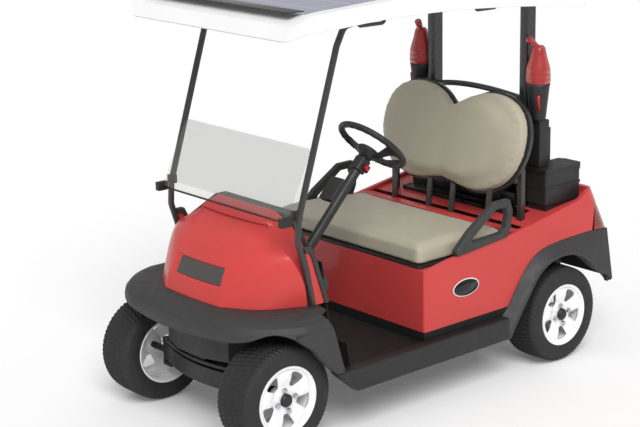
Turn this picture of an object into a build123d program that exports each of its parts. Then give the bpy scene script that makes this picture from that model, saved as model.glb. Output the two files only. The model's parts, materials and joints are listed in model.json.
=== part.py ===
from build123d import *
import math
import os

# Two-seat golf cart, millimetres. +X is the cart's left side, -Y its front, +Z up.
# The origin is on the ground under the middle of the cart.

# Overall layout
length = 2316.0
wheelbase = 1663.0
front_end_y = -length / 2
rear_end_y = length / 2
seat_gap = 0.3
running_clearance = 0.05

# Wheels
tyre_radius = 235.0
front_axle_y = front_end_y + tyre_radius
rear_axle_y = front_axle_y + wheelbase
axle_height = tyre_radius
tyre_width = 206.0
front_track = 864.0
rear_track = 984.0
rim_radius = 152.0
tyre_shoulder = 30.0
rim_barrel_radius = 132.0
disc_thickness = 24.0
hub_radius = 48.0
spindle_radius = 15.0
spoke_count = 5

# Steering
kingpin_x = 338.0
kingpin_radius = 11.0
steer_arm_length = 95.0
steer_arm_inset = 35.0
tie_rod_radius = 9.0
steering_wheel_radius = 155.0
steering_wheel_grip = 13.0
steering_shaft_radius = 8.0
column_x = 268.0
column_angle = 46.5
column_radius = 22.0
steering_hub_y = -205.0
steering_hub_z = 1175.0
hub_drop = 46.0

# Chassis
rail_x = 135.0
rail_width = 50.0
rail_low = 222.0
horn_low = 335.0
horn_high = 400.0
kick_low = 350.0
kick_high = 420.0
floor_top = 305.0
floor_thickness = 10.0
rail_high = floor_top - floor_thickness - seat_gap
floor_front_y = -600.0
rear_spring_x = 290.0
hitch_y = 1112.0
hitch_radius = 9.6
hitch_thickness = 12.0

# Body
body_half_width = 550.0
flare_half_width = 600.0
wall = 4.0
fender_wall = 5.0
fender_top = 590.0
fender_nose_y = -1148.0
sill_high = 315.0
sill_low = 208.0
sill_rear_y = 345.0
pod_front_y = -157.0
pod_rear_y = 420.0
pod_bottom = 352.0
pod_top = 638.0
rim_inside = 532.0
seat_half_width = 512.0
seat_base_thickness = 14.0
cushion_thickness = 90.0
seat_back_thickness = 72.0

# Roof and posts
roof_half_width = 565.0
roof_front_y = -893.0
roof_rear_y = 915.0
roof_skin = 6.0
panel_recess = 24.0
panel_half_width = 505.0
panel_thickness = 14.0
front_post_x = 453.0
front_post_radius = 14.0
rear_post_x = 316.0
rear_post_y = 752.0
rear_post_width = 48.0
rear_post_depth = 76.0

os.makedirs("parts", exist_ok=True)


def save(part, name):
    """Label a finished piece and write it as its own node."""
    part.label = name
    export_step(part, "parts/" + name + ".step")


def block(x0, x1, y0, y1, z0, z1, edge=0.0):
    """A box between two corners, with its upright edges rounded when edge is given."""
    x0, x1 = sorted((x0, x1))
    with BuildPart() as piece:
        with BuildSketch(Plane.XY.offset(z0)):
            with Locations(((x0 + x1) / 2, (y0 + y1) / 2)):
                if edge > 0:
                    RectangleRounded(x1 - x0, y1 - y0, edge)
                else:
                    Rectangle(x1 - x0, y1 - y0)
        extrude(amount=z1 - z0)
    return piece.part


def side_plate(points, x0, x1, radius=0.0):
    """A plate with a side-view outline of (y, z) points, from x0 to x1."""
    with BuildPart() as piece:
        with BuildSketch(Plane.YZ.offset(x0)):
            with BuildLine():
                if radius > 0:
                    FilletPolyline(*points, radius=radius, close=True)
                else:
                    Polyline(*points, close=True)
            make_face()
        extrude(amount=x1 - x0)
    return piece.part


def curve_height(curve, y):
    """Height of a side-view polyline of (y, z) points at one y."""
    for (y0, z0), (y1, z1) in zip(curve, curve[1:]):
        if y0 <= y <= y1:
            return z0 + (z1 - z0) * (y - y0) / (y1 - y0)
    return curve[-1][1]


def raised(curve, amount):
    """The same side-view curve moved up by amount."""
    return [(y, z + amount) for y, z in curve]


# Tyres and rims, one pair for each corner of the cart
wheel_places = [
    # name, side (+1 left), track, axle y
    ("front_left", 1, front_track, front_axle_y),
    ("front_right", -1, front_track, front_axle_y),
    ("rear_left", 1, rear_track, rear_axle_y),
    ("rear_right", -1, rear_track, rear_axle_y),
]
rim_face = [
    # depth behind the wheel's outer plane, radius
    (16.0, rim_barrel_radius + 2),
    (12.0, 118.0),
    (15.0, 92.0),
    (24.0, 68.0),
    (25.0, 0.0),
]
window_outline = [
    # radius, half width
    (72.0, 12.0),
    (118.0, 34.0),
]


def wheel_plane(side, track, y):
    """The plane across the wheel, its normal pointing outwards, at the wheel's middle."""
    return Plane(origin=(side * track / 2, y, axle_height), x_dir=(0, 1, 0), z_dir=(side, 0, 0))


def make_tyre(side, track, y):
    half = tyre_width / 2
    bead_width = 14.0
    bead_drop = 8.0
    plane = wheel_plane(side, track, y)
    section = Plane(origin=plane.origin, x_dir=plane.z_dir, z_dir=plane.x_dir)
    with BuildPart() as tyre:
        with BuildSketch(section):
            with BuildLine():
                FilletPolyline(
                    (-half, rim_radius),
                    (-half, tyre_radius),
                    (half, tyre_radius),
                    (half, rim_radius),
                    radius=tyre_shoulder,
                )
                Polyline(
                    (half, rim_radius),
                    (half - bead_width, rim_radius - bead_drop),
                    (-half + bead_width, rim_radius - bead_drop),
                    (-half, rim_radius),
                )
            make_face()
        revolve(axis=Axis(plane.origin, plane.z_dir))
    return tyre.part


with BuildSketch() as rim_window:
    with BuildLine():
        FilletPolyline(
            (window_outline[0][0], -window_outline[0][1]),
            (window_outline[1][0], -window_outline[1][1]),
            (window_outline[1][0] + 5, 0),
            (window_outline[1][0], window_outline[1][1]),
            (window_outline[0][0], window_outline[0][1]),
            radius=9,
            close=True,
        )
    make_face()


def make_rim(side, track, y):
    half = tyre_width / 2
    bead_width = 14.0
    bead_drop = 8.0
    flange = 2.0
    well = 22.0
    bead = rim_radius - bead_drop
    lip = bead + bead_drop / bead_width * (bead_width - flange)
    plane = wheel_plane(side, track, y)
    section = Plane(origin=plane.origin, x_dir=plane.z_dir, z_dir=plane.x_dir)
    with BuildPart() as rim:
        with BuildSketch(section):
            with BuildLine():
                Polyline(
                    (-half + bead_width, bead),
                    (half - bead_width, bead),
                    (half - flange, lip),
                    (half - flange, bead),
                    (half - well, rim_barrel_radius),
                    (-half + well, rim_barrel_radius),
                    (-half + flange, bead),
                    (-half + flange, lip),
                    close=True,
                )
            make_face()
            with BuildLine():
                Polyline(
                    *[(half - depth, radius) for depth, radius in rim_face],
                    (half - rim_face[-1][0] - disc_thickness, 0),
                    (half - rim_face[-1][0] - disc_thickness, rim_barrel_radius + 2),
                    close=True,
                )
            make_face()
        revolve(axis=Axis(plane.origin, plane.z_dir))
        with BuildSketch(plane.offset(half - rim_face[-1][0] - disc_thickness - 1)):
            with PolarLocations(0, spoke_count, 18):
                add(rim_window.sketch)
        extrude(amount=disc_thickness + 30, mode=Mode.SUBTRACT)
        with BuildSketch(plane.offset(-30)):
            Circle(hub_radius)
        extrude(amount=half + 30 - rim_face[-1][0] - disc_thickness / 2)
        with BuildSketch(plane.offset(half - rim_face[-1][0] - 1)):
            Circle(27)
        extrude(amount=12, taper=12)
        with BuildSketch(plane.offset(-31)):
            Circle(spindle_radius + running_clearance)
        extrude(amount=half - 40 + 31, mode=Mode.SUBTRACT)
    return rim.part


for name, side, track, y in wheel_places:
    save(make_tyre(side, track, y), "tyre_" + name)
    save(make_rim(side, track, y), "rim_" + name)

# Front axle beam with an eye at each end for the kingpins
beam_y = front_axle_y
beam_end_x = kingpin_x - 34
beam_low = axle_height - 35
beam_high = axle_height + 45
eye_half = 62.0
barrel_half = 41.0
eye_depth = 20.0
with BuildPart() as front_axle_beam:
    with BuildSketch(Plane.XY.offset(beam_low)):
        with BuildLine():
            back = Polyline(
                (-beam_end_x, beam_y - 22),
                (-beam_end_x, beam_y + 6),
                (-beam_end_x + 54, beam_y + 22),
                (beam_end_x - 54, beam_y + 22),
                (beam_end_x, beam_y + 6),
                (beam_end_x, beam_y - 22),
            )
            ThreePointArc(back @ 1, (0, beam_y - 82), back @ 0)
        make_face()
    extrude(amount=beam_high - beam_low)
    for side in (1, -1):
        with BuildSketch(Plane.XY.offset(axle_height - eye_half)):
            with Locations((side * (beam_end_x - 8), beam_y - 8)):
                Rectangle(20, 28)
        extrude(amount=2 * eye_half)
        for z in (axle_height - eye_half, axle_height + eye_half - eye_depth):
            with BuildSketch(Plane.XY.offset(z)):
                with Locations((side * kingpin_x, beam_y)):
                    Circle(22)
                with Locations((side * (kingpin_x - 20), beam_y)):
                    Rectangle(40, 44)
            extrude(amount=eye_depth)
        with BuildSketch(Plane.XY.offset(axle_height - eye_half)):
            with Locations((side * kingpin_x, beam_y)):
                Circle(kingpin_radius + running_clearance)
        extrude(amount=2 * eye_half, mode=Mode.SUBTRACT)
save(front_axle_beam.part, "front_axle_beam")

# Steering knuckles: kingpin, barrel, stub axle, brake drum and steering arm
arm_z = axle_height - 36
arm_thickness = 12.0
tie_rod_y = beam_y + steer_arm_length
tie_rod_x = kingpin_x - steer_arm_inset
tie_rod_z = arm_z - 18
spindle_end = tyre_width / 2 - 42
for side, name in ((1, "left"), (-1, "right")):
    with BuildPart() as knuckle:
        with BuildSketch(Plane.XY.offset(axle_height - eye_half)):
            with Locations((side * kingpin_x, beam_y)):
                Circle(kingpin_radius)
        extrude(amount=2 * eye_half)
        with BuildSketch(Plane.XY.offset(axle_height - barrel_half)):
            with Locations((side * kingpin_x, beam_y)):
                Circle(20)
        extrude(amount=2 * barrel_half)
        with BuildSketch(Plane.YZ.offset(side * kingpin_x)):
            with Locations((beam_y, axle_height)):
                Circle(spindle_radius)
        extrude(amount=side * (front_track / 2 + spindle_end - kingpin_x))
        with BuildSketch(Plane.XY.offset(arm_z)):
            with BuildLine():
                Polyline(
                    (side * (kingpin_x - 10), beam_y),
                    (side * (kingpin_x + 10), beam_y),
                    (side * (tie_rod_x + 8), tie_rod_y),
                    (side * (tie_rod_x - 8), tie_rod_y),
                    close=True,
                )
            make_face()
            with Locations((side * tie_rod_x, tie_rod_y)):
                Circle(13)
        extrude(amount=arm_thickness)
    save(knuckle.part, "knuckle_" + name)

# Steering rack and its two tie rods, made as one bar with an eye at each end
with BuildPart() as tie_rod:
    with BuildSketch(Plane.YZ.offset(-tie_rod_x)):
        with Locations((tie_rod_y, tie_rod_z)):
            Circle(tie_rod_radius)
    extrude(amount=2 * tie_rod_x)
    with BuildSketch(Plane.XY.offset(tie_rod_z - 11)):
        with Locations((tie_rod_x, tie_rod_y), (-tie_rod_x, tie_rod_y)):
            Circle(14)
    extrude(amount=22)
save(tie_rod.part, "tie_rod")

# Rear axle: tube, differential housing and electric motor in one carrier
axle_tube_radius = 30.0
with BuildPart() as rear_axle:
    with BuildSketch(Plane.YZ.offset(-(rear_track / 2 - 40))):
        with Locations((rear_axle_y, axle_height)):
            Circle(axle_tube_radius)
    extrude(amount=rear_track - 80)
    with BuildSketch(Plane.YZ.offset(-(rear_track / 2 + spindle_end))):
        with Locations((rear_axle_y, axle_height)):
            Circle(spindle_radius)
    extrude(amount=rear_track + 2 * spindle_end)
    with Locations((30, rear_axle_y, axle_height)):
        Sphere(85)
    with BuildSketch(Plane.YZ.offset(40)):
        with Locations((rear_axle_y - 80, axle_height)):
            Circle(80)
    extrude(amount=-230)
save(rear_axle.part, "rear_axle")

# Leaf springs: one across the front, one along each side at the rear
leaf_thickness = 16.0
leaf_width = 50.0
leaf_rise = 65.0
leaf_half_length = 260.0
leaf_low = axle_height + axle_tube_radius + seat_gap
leaf_end_high = leaf_low + leaf_rise + leaf_thickness
front_leaf_low = axle_height + eye_half + seat_gap
front_leaf_high = front_leaf_low + 14
with BuildPart() as leaf_springs:
    for side in (1, -1):
        with BuildSketch(Plane.YZ.offset(side * rear_spring_x - leaf_width / 2)):
            with BuildLine():
                low = ThreePointArc(
                    (rear_axle_y - leaf_half_length, leaf_low + leaf_rise),
                    (rear_axle_y, leaf_low),
                    (rear_axle_y + leaf_half_length, leaf_low + leaf_rise),
                )
                high = ThreePointArc(
                    (rear_axle_y - leaf_half_length, leaf_end_high),
                    (rear_axle_y, leaf_low + leaf_thickness),
                    (rear_axle_y + leaf_half_length, leaf_end_high),
                )
                Line(low @ 0, high @ 0)
                Line(low @ 1, high @ 1)
            make_face()
        extrude(amount=leaf_width)
    with BuildSketch(Plane.XY.offset(front_leaf_low)):
        with BuildLine():
            front_arc = ThreePointArc((-320, beam_y - 24), (0, beam_y - 92), (320, beam_y - 24))
            rear_arc = ThreePointArc((-320, beam_y + 18), (0, beam_y - 50), (320, beam_y + 18))
            Line(front_arc @ 0, rear_arc @ 0)
            Line(front_arc @ 1, rear_arc @ 1)
        make_face()
    extrude(amount=front_leaf_high - front_leaf_low)
save(leaf_springs.part, "leaf_springs")

# Chassis frame: two side rails with kick-ups, cross members, spring hangers and hitch plate
bumper_box_y = -1038.0
horn_y = bumper_box_y + fender_wall + seat_gap
rail_outline = [
    # y, z
    (-1000.0, horn_high),
    (-850.0, horn_high),
    (-800.0, rail_high),
    (430.0, rail_high),
    (500.0, kick_high),
    (1050.0, kick_high),
    (1050.0, kick_low),
    (530.0, kick_low),
    (460.0, rail_low),
    (-830.0, rail_low),
    (-880.0, horn_low),
    (-1000.0, horn_low),
]
cross_members = [
    # low x to high x, low y to high y, low z to high z
    (-80.0, 80.0, horn_y, -960.0, horn_low, horn_high),
    (-60.0, 60.0, -1005.0, -980.0, front_leaf_high + seat_gap, horn_low + 5),
    (-rail_x, rail_x, -1000.0, -960.0, horn_low, horn_high),
    (-rail_x, rail_x, -800.0, -770.0, rail_low, rail_high),
    (-rail_x, rail_x, -440.0, -400.0, rail_low, rail_high),
    (-rail_x, rail_x, -20.0, 20.0, rail_low, rail_high),
    (-rail_x, rail_x, 380.0, 420.0, rail_low, rail_high),
    (-rear_spring_x - 28, rear_spring_x + 28, 470.0, 510.0, kick_low, kick_high - 20),
    (-rear_spring_x - 28, rear_spring_x + 28, 980.0, 1020.0, kick_low, kick_high),
    (-40.0, 40.0, 1010.0, 1140.0, kick_low, kick_low + hitch_thickness),
]
with BuildPart() as chassis_frame:
    for side in (1, -1):
        with BuildSketch(Plane.YZ.offset(side * rail_x - rail_width / 2)):
            with BuildLine():
                Polyline(*rail_outline, close=True)
            make_face()
        extrude(amount=rail_width)
    for x0, x1, y0, y1, z0, z1 in cross_members:
        add(block(x0, x1, y0, y1, z0, z1))
    for side in (1, -1):
        for y in (rear_axle_y - leaf_half_length + 8, rear_axle_y + leaf_half_length - 8):
            with BuildSketch(Plane.XY.offset(leaf_end_high + seat_gap)):
                with Locations((side * rear_spring_x, y)):
                    Rectangle(leaf_width, 16)
            extrude(amount=kick_low + 5 - leaf_end_high - seat_gap)
    with BuildSketch(Plane.YZ.offset(-80)):
        with Locations((tie_rod_y, tie_rod_z)):
            Circle(20)
        with Locations((tie_rod_y + 24, tie_rod_z + 26)):
            Rectangle(40, 42)
    extrude(amount=160)
    with BuildSketch(Plane.YZ.offset(-80)):
        with Locations((tie_rod_y, tie_rod_z)):
            Circle(tie_rod_radius + running_clearance)
    extrude(amount=160, mode=Mode.SUBTRACT)
    with BuildSketch(Plane.XY.offset(kick_low)):
        with Locations((0, hitch_y)):
            Circle(hitch_radius)
    extrude(amount=hitch_thickness, mode=Mode.SUBTRACT)
save(chassis_frame.part, "chassis_frame")

# Battery pack, one plain block on the rails under the seat
save(block(-300, 300, -110, 330, rail_high + seat_gap, 575, 8), "battery_pack")

# Floor pan: firewall, floor, riser and the ledges that carry the seat pod
firewall_top_y = -655.0
firewall_top_z = 765.0
toe_board_top = 420.0
firewall_slope = (firewall_top_y - floor_front_y) / (firewall_top_z - floor_top)
plate_half_width = body_half_width - seat_gap
firewall_half_width = 438.0
ledge_low = pod_bottom - seat_gap - floor_thickness


def firewall_y(z):
    """Front face of the firewall at one height."""
    return floor_front_y + firewall_slope * (z - floor_top)


floor_outline = [
    (floor_front_y, floor_top - floor_thickness),
    (pod_front_y + floor_thickness, floor_top - floor_thickness),
    (pod_front_y + floor_thickness, ledge_low),
    (pod_rear_y, ledge_low),
    (pod_rear_y, pod_bottom - seat_gap),
    (pod_front_y, pod_bottom - seat_gap),
    (pod_front_y, floor_top),
    (firewall_y(floor_top) + 8, floor_top),
    (firewall_y(toe_board_top) + 8, toe_board_top),
    (firewall_y(toe_board_top), toe_board_top),
    (floor_front_y, floor_top),
]
firewall_outline = [
    (firewall_y(floor_top), floor_top - 2),
    (firewall_y(floor_top) + 8, floor_top - 2),
    (firewall_y(firewall_top_z) + 8, firewall_top_z),
    (firewall_y(firewall_top_z), firewall_top_z),
]
with BuildPart() as floor_pan:
    add(side_plate(floor_outline, -plate_half_width, plate_half_width))
    add(side_plate(firewall_outline, -firewall_half_width, firewall_half_width))
    add(block(-310, 310, pod_front_y + 30, pod_rear_y - 30, ledge_low - 1, pod_bottom + 1), mode=Mode.SUBTRACT)
    for side in (1, -1):
        add(block(side * (body_half_width - 14), side * plate_half_width, pod_front_y, 384, sill_high - 30, ledge_low))
save(floor_pan.part, "floor_pan")

# Rocker panels: the two sills beside the floor, cut to the front wheel arch
sill_outline = [
    # y, z
    (-708.0, sill_high),
    (-694.0, 297.0),
    (-640.0, 250.0),
    (-592.0, sill_low),
    (sill_rear_y, sill_low),
    (sill_rear_y, sill_high),
]
with BuildPart() as rocker_panels:
    for side in (1, -1):
        with BuildSketch(Plane.YZ.offset(side * body_half_width)):
            with BuildLine():
                Polyline(*sill_outline, close=True)
            make_face()
        extrude(amount=side * (flare_half_width - body_half_width))
    outer_edges = rocker_panels.edges().filter_by(Axis.Y)
    outer_edges = outer_edges.filter_by(lambda edge: abs(edge.center().X) > flare_half_width - 1)
    fillet(outer_edges, 9)
save(rocker_panels.part, "rocker_panels")

# Front fender: one moulding around the nose, over the wheels and down to the sills
fender_crown = [
    # inset from the rim, height
    (0.0, 518.0),
    (6.0, 540.0),
    (24.0, 560.0),
    (62.0, 578.0),
    (110.0, fender_top),
]


def fender_plan(inset, z):
    """The fender's plan outline as arcs and lines; inset moves it inwards."""
    side_x = flare_half_width - inset
    nose_y = fender_nose_y + inset
    corner_x = 502 - 0.8 * inset
    corner_y = -1021 + 0.6 * inset
    cheek_x = 330 - 0.3 * inset
    cheek_y = -1114 + 0.9 * inset
    with BuildSketch(Plane.XY.offset(z)) as plan:
        with BuildLine():
            right = Line((-side_x, -632), (-side_x, -860))
            right_arc = ThreePointArc(right @ 1, (-corner_x, corner_y), (-cheek_x, cheek_y))
            nose = ThreePointArc(right_arc @ 1, (0, nose_y), (cheek_x, cheek_y))
            left_arc = ThreePointArc(nose @ 1, (corner_x, corner_y), (side_x, -860))
            left = Line(left_arc @ 1, (side_x, -632))
            Line(left @ 1, right @ 0)
        make_face()
    return plan.sketch


def fender_crown_shape(inset, drop):
    """The rounded top of the fender, lofted through its crown sections."""
    with BuildPart() as shape:
        for step, z in fender_crown:
            add(fender_plan(step + inset, z - drop))
        loft(ruled=True)
    return shape.part


arch_curve = [
    # y, z of the fender's lower edge seen from the side
    (-1200.0, 482.0),
    (-1130.0, 490.0),
    (-1060.0, 512.0),
    (-990.0, 540.0),
    (-912.0, 512.0),
    (-833.0, 450.0),
    (-780.0, 383.0),
    (-708.0, sill_high + seat_gap),
    (-640.0, 230.0),
]
leg_cut_outline = [
    # y, z behind the fender's leg
    (-700.0, 640.0),
    (-700.0, fender_top - 8),
    (-742.0, fender_top - 14),
    (-717.0, 496.0),
    (-671.0, 332.0),
    (-640.0, 250.0),
    (-560.0, 250.0),
    (-560.0, 640.0),
]
leg_outline = [
    (-912.0, 510.0),
    (-833.0, 450.0),
    (-780.0, 383.0),
    (-708.0, sill_high + seat_gap),
    (-664.0, sill_high + seat_gap),
    (-671.0, 332.0),
    (-717.0, 496.0),
    (-725.0, 530.0),
    (-912.0, 530.0),
]
crown_low = fender_crown[0][1]
fender_low = sill_high + seat_gap
bumper_box_plan = [
    # x, y of the box's left half
    (90.0, bumper_box_y),
    (220.0, -993.0),
    (220.0, -900.0),
]


def bumper_box(inset):
    """The box behind the fender's nose, as a solid moved inwards by inset."""
    half = [
        (bumper_box_plan[0][0] - 0.4 * inset, bumper_box_plan[0][1] + inset),
        (bumper_box_plan[1][0] - inset, bumper_box_plan[1][1] + 0.7 * inset),
        (bumper_box_plan[2][0] - inset, bumper_box_plan[2][1]),
    ]
    outline = half + [(-x, y) for x, y in reversed(half)]
    with BuildPart() as box:
        with BuildSketch(Plane.XY.offset(340 - inset)):
            with BuildLine():
                Polyline(*outline, close=True)
            make_face()
        extrude(amount=fender_top - fender_wall + 2 - 340 + inset)
    return box.part


with BuildPart() as front_fender:
    with BuildSketch(Plane.XY.offset(fender_low)):
        add(fender_plan(0, fender_low))
    extrude(amount=crown_low - fender_low)
    add(fender_crown_shape(0, 0))
    with BuildSketch(Plane.XY.offset(fender_low)):
        add(fender_plan(fender_wall, fender_low))
    extrude(amount=crown_low - fender_low, mode=Mode.SUBTRACT)
    add(fender_crown_shape(fender_wall, fender_wall - 1), mode=Mode.SUBTRACT)
    with BuildSketch(Plane.YZ.offset(-700)):
        with BuildLine():
            Spline(*arch_curve)
            Polyline(arch_curve[-1], (-640, 100), (-1200, 100), arch_curve[0])
        make_face()
    extrude(amount=1400, mode=Mode.SUBTRACT)
    for side in (1, -1):
        add(side_plate(leg_outline, side * 568, side * (flare_half_width - 1)))
    add(side_plate(leg_cut_outline, -700, 700), mode=Mode.SUBTRACT)
    add(bumper_box(0))
    add(bumper_box(fender_wall), mode=Mode.SUBTRACT)
    add(block(-214, 214, -930, -890, 330, fender_top - fender_wall), mode=Mode.SUBTRACT)
save(front_fender.part, "front_fender")

# Front cowl: the red nose, a shell lofted up from its foot on the fender
cowl_sections = [
    # z, nose x, nose y, middle x, middle y, side x, side y
    (fender_top + seat_gap, 198.0, -1018.0, 352.0, -918.0, 450.0, -742.0),
    (700.0, 200.0, -985.0, 357.0, -900.0, 460.0, -755.0),
    (800.0, 204.0, -930.0, 341.0, -874.0, 430.0, -765.0),
    (860.0, 208.0, -864.0, 296.0, -806.0, 360.0, -716.0),
    (905.0, 208.0, -790.0, 262.0, -750.0, 302.0, -706.0),
    (954.0, 206.0, -712.0, 227.0, -707.0, 238.0, -700.0),
]
cowl_back_y = -695.0
plate_half = 163.0
plate_low = 664.0
plate_high = 744.0
plate_y = -953.0
plate_z = 703.0
plate_slope = 0.42


def cowl_shape(inset):
    """The cowl as a solid between its sections, each moved inwards by inset."""
    with BuildPart() as shape:
        for z, nose_x, nose_y, mid_x, mid_y, side_x, side_y in cowl_sections:
            nx = nose_x - 0.5 * inset
            ny = nose_y + inset
            mx = mid_x - 0.8 * inset
            my = mid_y + 0.8 * inset
            sx = side_x - inset
            sy = side_y + 0.2 * inset
            top = z if z < 940 else z - inset
            with BuildSketch(Plane.XY.offset(top)):
                with BuildLine():
                    front = Line((-nx, ny), (nx, ny))
                    left = ThreePointArc(front @ 1, (mx, my), (sx, sy))
                    left_edge = Line(left @ 1, (sx, cowl_back_y))
                    back = Line(left_edge @ 1, (-sx, cowl_back_y))
                    right_edge = Line(back @ 1, (-sx, sy))
                    ThreePointArc(right_edge @ 1, (-mx, my), front @ 0)
                make_face()
        loft()
    return shape.part


def plate_pocket(grow):
    """The recess for the nose plate, grown by the wall where it is backed."""
    low_y = plate_y - plate_slope * (plate_z - plate_low)
    high_y = plate_y + plate_slope * (plate_high - plate_z)
    outline = [
        (-1060.0, plate_low - grow),
        (low_y + grow, plate_low - grow),
        (high_y + grow, plate_high + grow),
        (-1060.0, plate_high + grow),
    ]
    return side_plate(outline, -plate_half - grow, plate_half + grow)


cowl_rear_cut = [
    (-736.0, 560.0),
    (-739.0, 602.0),
    (-768.0, 755.0),
    (-807.0, 880.0),
    (-804.0, 960.0),
    (-780.0, 1100.0),
    (-400.0, 1100.0),
    (-400.0, 560.0),
]
with BuildPart() as front_cowl:
    add(cowl_shape(0))
    add(plate_pocket(0), mode=Mode.SUBTRACT)
    with BuildPart(mode=Mode.PRIVATE) as hollow:
        add(cowl_shape(wall))
        add(plate_pocket(wall), mode=Mode.SUBTRACT)
    add(hollow.part, mode=Mode.SUBTRACT)
    for side in (1, -1):
        add(side_plate(cowl_rear_cut, side * (front_post_x - 22), side * 560), mode=Mode.SUBTRACT)
save(front_cowl.part, "front_cowl")

# Front posts: one tube a side from the fender shelf up under the roof
roof_low_curve = [
    # y, z of the fascia's lower edge at the side
    (roof_front_y, 1736.0),
    (-841.0, 1757.0),
    (-738.0, 1765.0),
    (-471.0, 1778.0),
    (-303.0, 1783.0),
    (-10.0, 1781.0),
    (301.0, 1767.0),
    (701.0, 1735.0),
    (roof_rear_y, 1713.0),
]
roof_high_curve = [
    (-868.0, 1798.0),
    (-788.0, 1828.0),
    (-631.0, 1843.0),
    (-331.0, 1858.0),
    (-10.0, 1855.0),
    (301.0, 1840.0),
    (701.0, 1806.0),
    (roof_rear_y, 1784.0),
]
under_rail_depth = 8.0


def above(curve, amount, top=1950.0):
    """Everything over a side-view curve raised by amount, across the whole roof."""
    lifted = raised(curve, amount)
    with BuildPart() as space:
        with BuildSketch(Plane.YZ.offset(-700)):
            with BuildLine():
                Spline(*lifted)
                Polyline(lifted[-1], (lifted[-1][0], top), (lifted[0][0], top), lifted[0])
            make_face()
        extrude(amount=1400)
    return space.part


def roof_plan(inset, z, height):
    """The roof's plan outline as a block, moved inwards by inset."""
    width = 2 * (roof_half_width - inset)
    depth = roof_rear_y - roof_front_y - 2 * inset
    with BuildPart() as slab:
        with BuildSketch(Plane.XY.offset(z)):
            with Locations((0, (roof_front_y + roof_rear_y) / 2)):
                RectangleRounded(width, depth, 62 - inset)
        extrude(amount=height)
    return slab.part


def roof_solid(inset, low_rise, high_drop):
    """The roof between its lower and upper curves, moved inwards on every side."""
    low = raised(roof_low_curve, low_rise)
    high = raised(roof_high_curve, -high_drop)
    with BuildPart() as shape:
        with BuildSketch(Plane.YZ.offset(-roof_half_width)):
            with BuildLine():
                Spline(*low)
                Spline(*high)
                Line(low[0], high[0])
                Line(low[-1], high[-1])
            make_face()
        extrude(amount=2 * roof_half_width)
        add(roof_plan(inset, 1600, 400), mode=Mode.INTERSECT)
    return shape.part


post_foot_z = fender_top + seat_gap
post_path = [
    # y, z
    (-719.0, post_foot_z),
    (-751.0, 755.0),
    (-790.0, 880.0),
    (-783.0, 980.0),
    (-561.0, 1678.0),
    (-520.0, 1755.0),
    (-470.0, 1764.0),
]
keepout = above(roof_low_curve, under_rail_depth - seat_gap)
with BuildPart() as front_posts:
    for side in (1, -1):
        with BuildLine(Plane.YZ.offset(side * front_post_x)) as route:
            FilletPolyline(*post_path, radius=50)
        with BuildSketch(Plane(origin=route.line @ 0, z_dir=route.line % 0)):
            Circle(front_post_radius)
        sweep(path=route.line)
        add(block(side * front_post_x - 13, side * front_post_x + 13, -512, -471, 1762, 1810))
    add(block(-600, 600, -800, -600, post_foot_z - 40, post_foot_z), mode=Mode.SUBTRACT)
    add(keepout, mode=Mode.SUBTRACT)
save(front_posts.part, "front_posts")

# Roof: a hollow shell with a ladder of rails underneath and a tray for the panel on top
under_rails = [
    # low x to high x, low y to high y
    (425.0, 481.0, -560.0, 840.0),
    (-481.0, -425.0, -560.0, 840.0),
    (-481.0, 481.0, 708.0, 796.0),
    (-481.0, 481.0, -530.0, -450.0),
]
panel_front_y = -765.0
panel_rear_y = 785.0
tray_floor = above(roof_high_curve, -panel_recess)
with BuildPart() as under_frame:
    for x0, x1, y0, y1 in under_rails:
        add(block(x0, x1, y0, y1, 1690, 1900))
    add(roof_solid(20, under_rail_depth, panel_recess + 1), mode=Mode.INTERSECT)
with BuildPart() as tray:
    add(block(-panel_half_width, panel_half_width, panel_front_y, panel_rear_y, 1700, 1950, 10))
    add(tray_floor, mode=Mode.INTERSECT)
with BuildPart() as roof:
    add(roof_solid(0, 0, 0))
    add(tray.part, mode=Mode.SUBTRACT)
    add(roof_solid(26, -30, panel_recess + roof_skin), mode=Mode.SUBTRACT)
    add(under_frame.part)
save(roof.part, "roof")

# Solar panel, bent to the roof and laid in its tray
with BuildPart() as solar_panel:
    add(
        block(
            -panel_half_width + 3,
            panel_half_width - 3,
            panel_front_y + 3,
            panel_rear_y - 3,
            1700,
            1950,
            8,
        )
    )
    add(above(roof_high_curve, -panel_recess + seat_gap), mode=Mode.INTERSECT)
    add(above(roof_high_curve, -panel_recess + seat_gap + panel_thickness), mode=Mode.SUBTRACT)
save(solar_panel.part, "solar_panel")

# Grab handles under the roof rails
handle_spans = [
    # front y, rear y
    (-446.0, -288.0),
    (252.0, 394.0),
]
handle_z = 1748.0
with BuildPart() as grab_handles:
    for side in (1, -1):
        for y0, y1 in handle_spans:
            with BuildLine(Plane.YZ.offset(side * front_post_x)) as route:
                FilletPolyline((y0, 1800), (y0 + 6, handle_z), (y1 - 6, handle_z), (y1, 1800), radius=18)
            with BuildSketch(Plane(origin=route.line @ 0, z_dir=route.line % 0)):
                Circle(8)
            sweep(path=route.line)
    add(keepout, mode=Mode.SUBTRACT)
save(grab_handles.part, "grab_handles")

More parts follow.
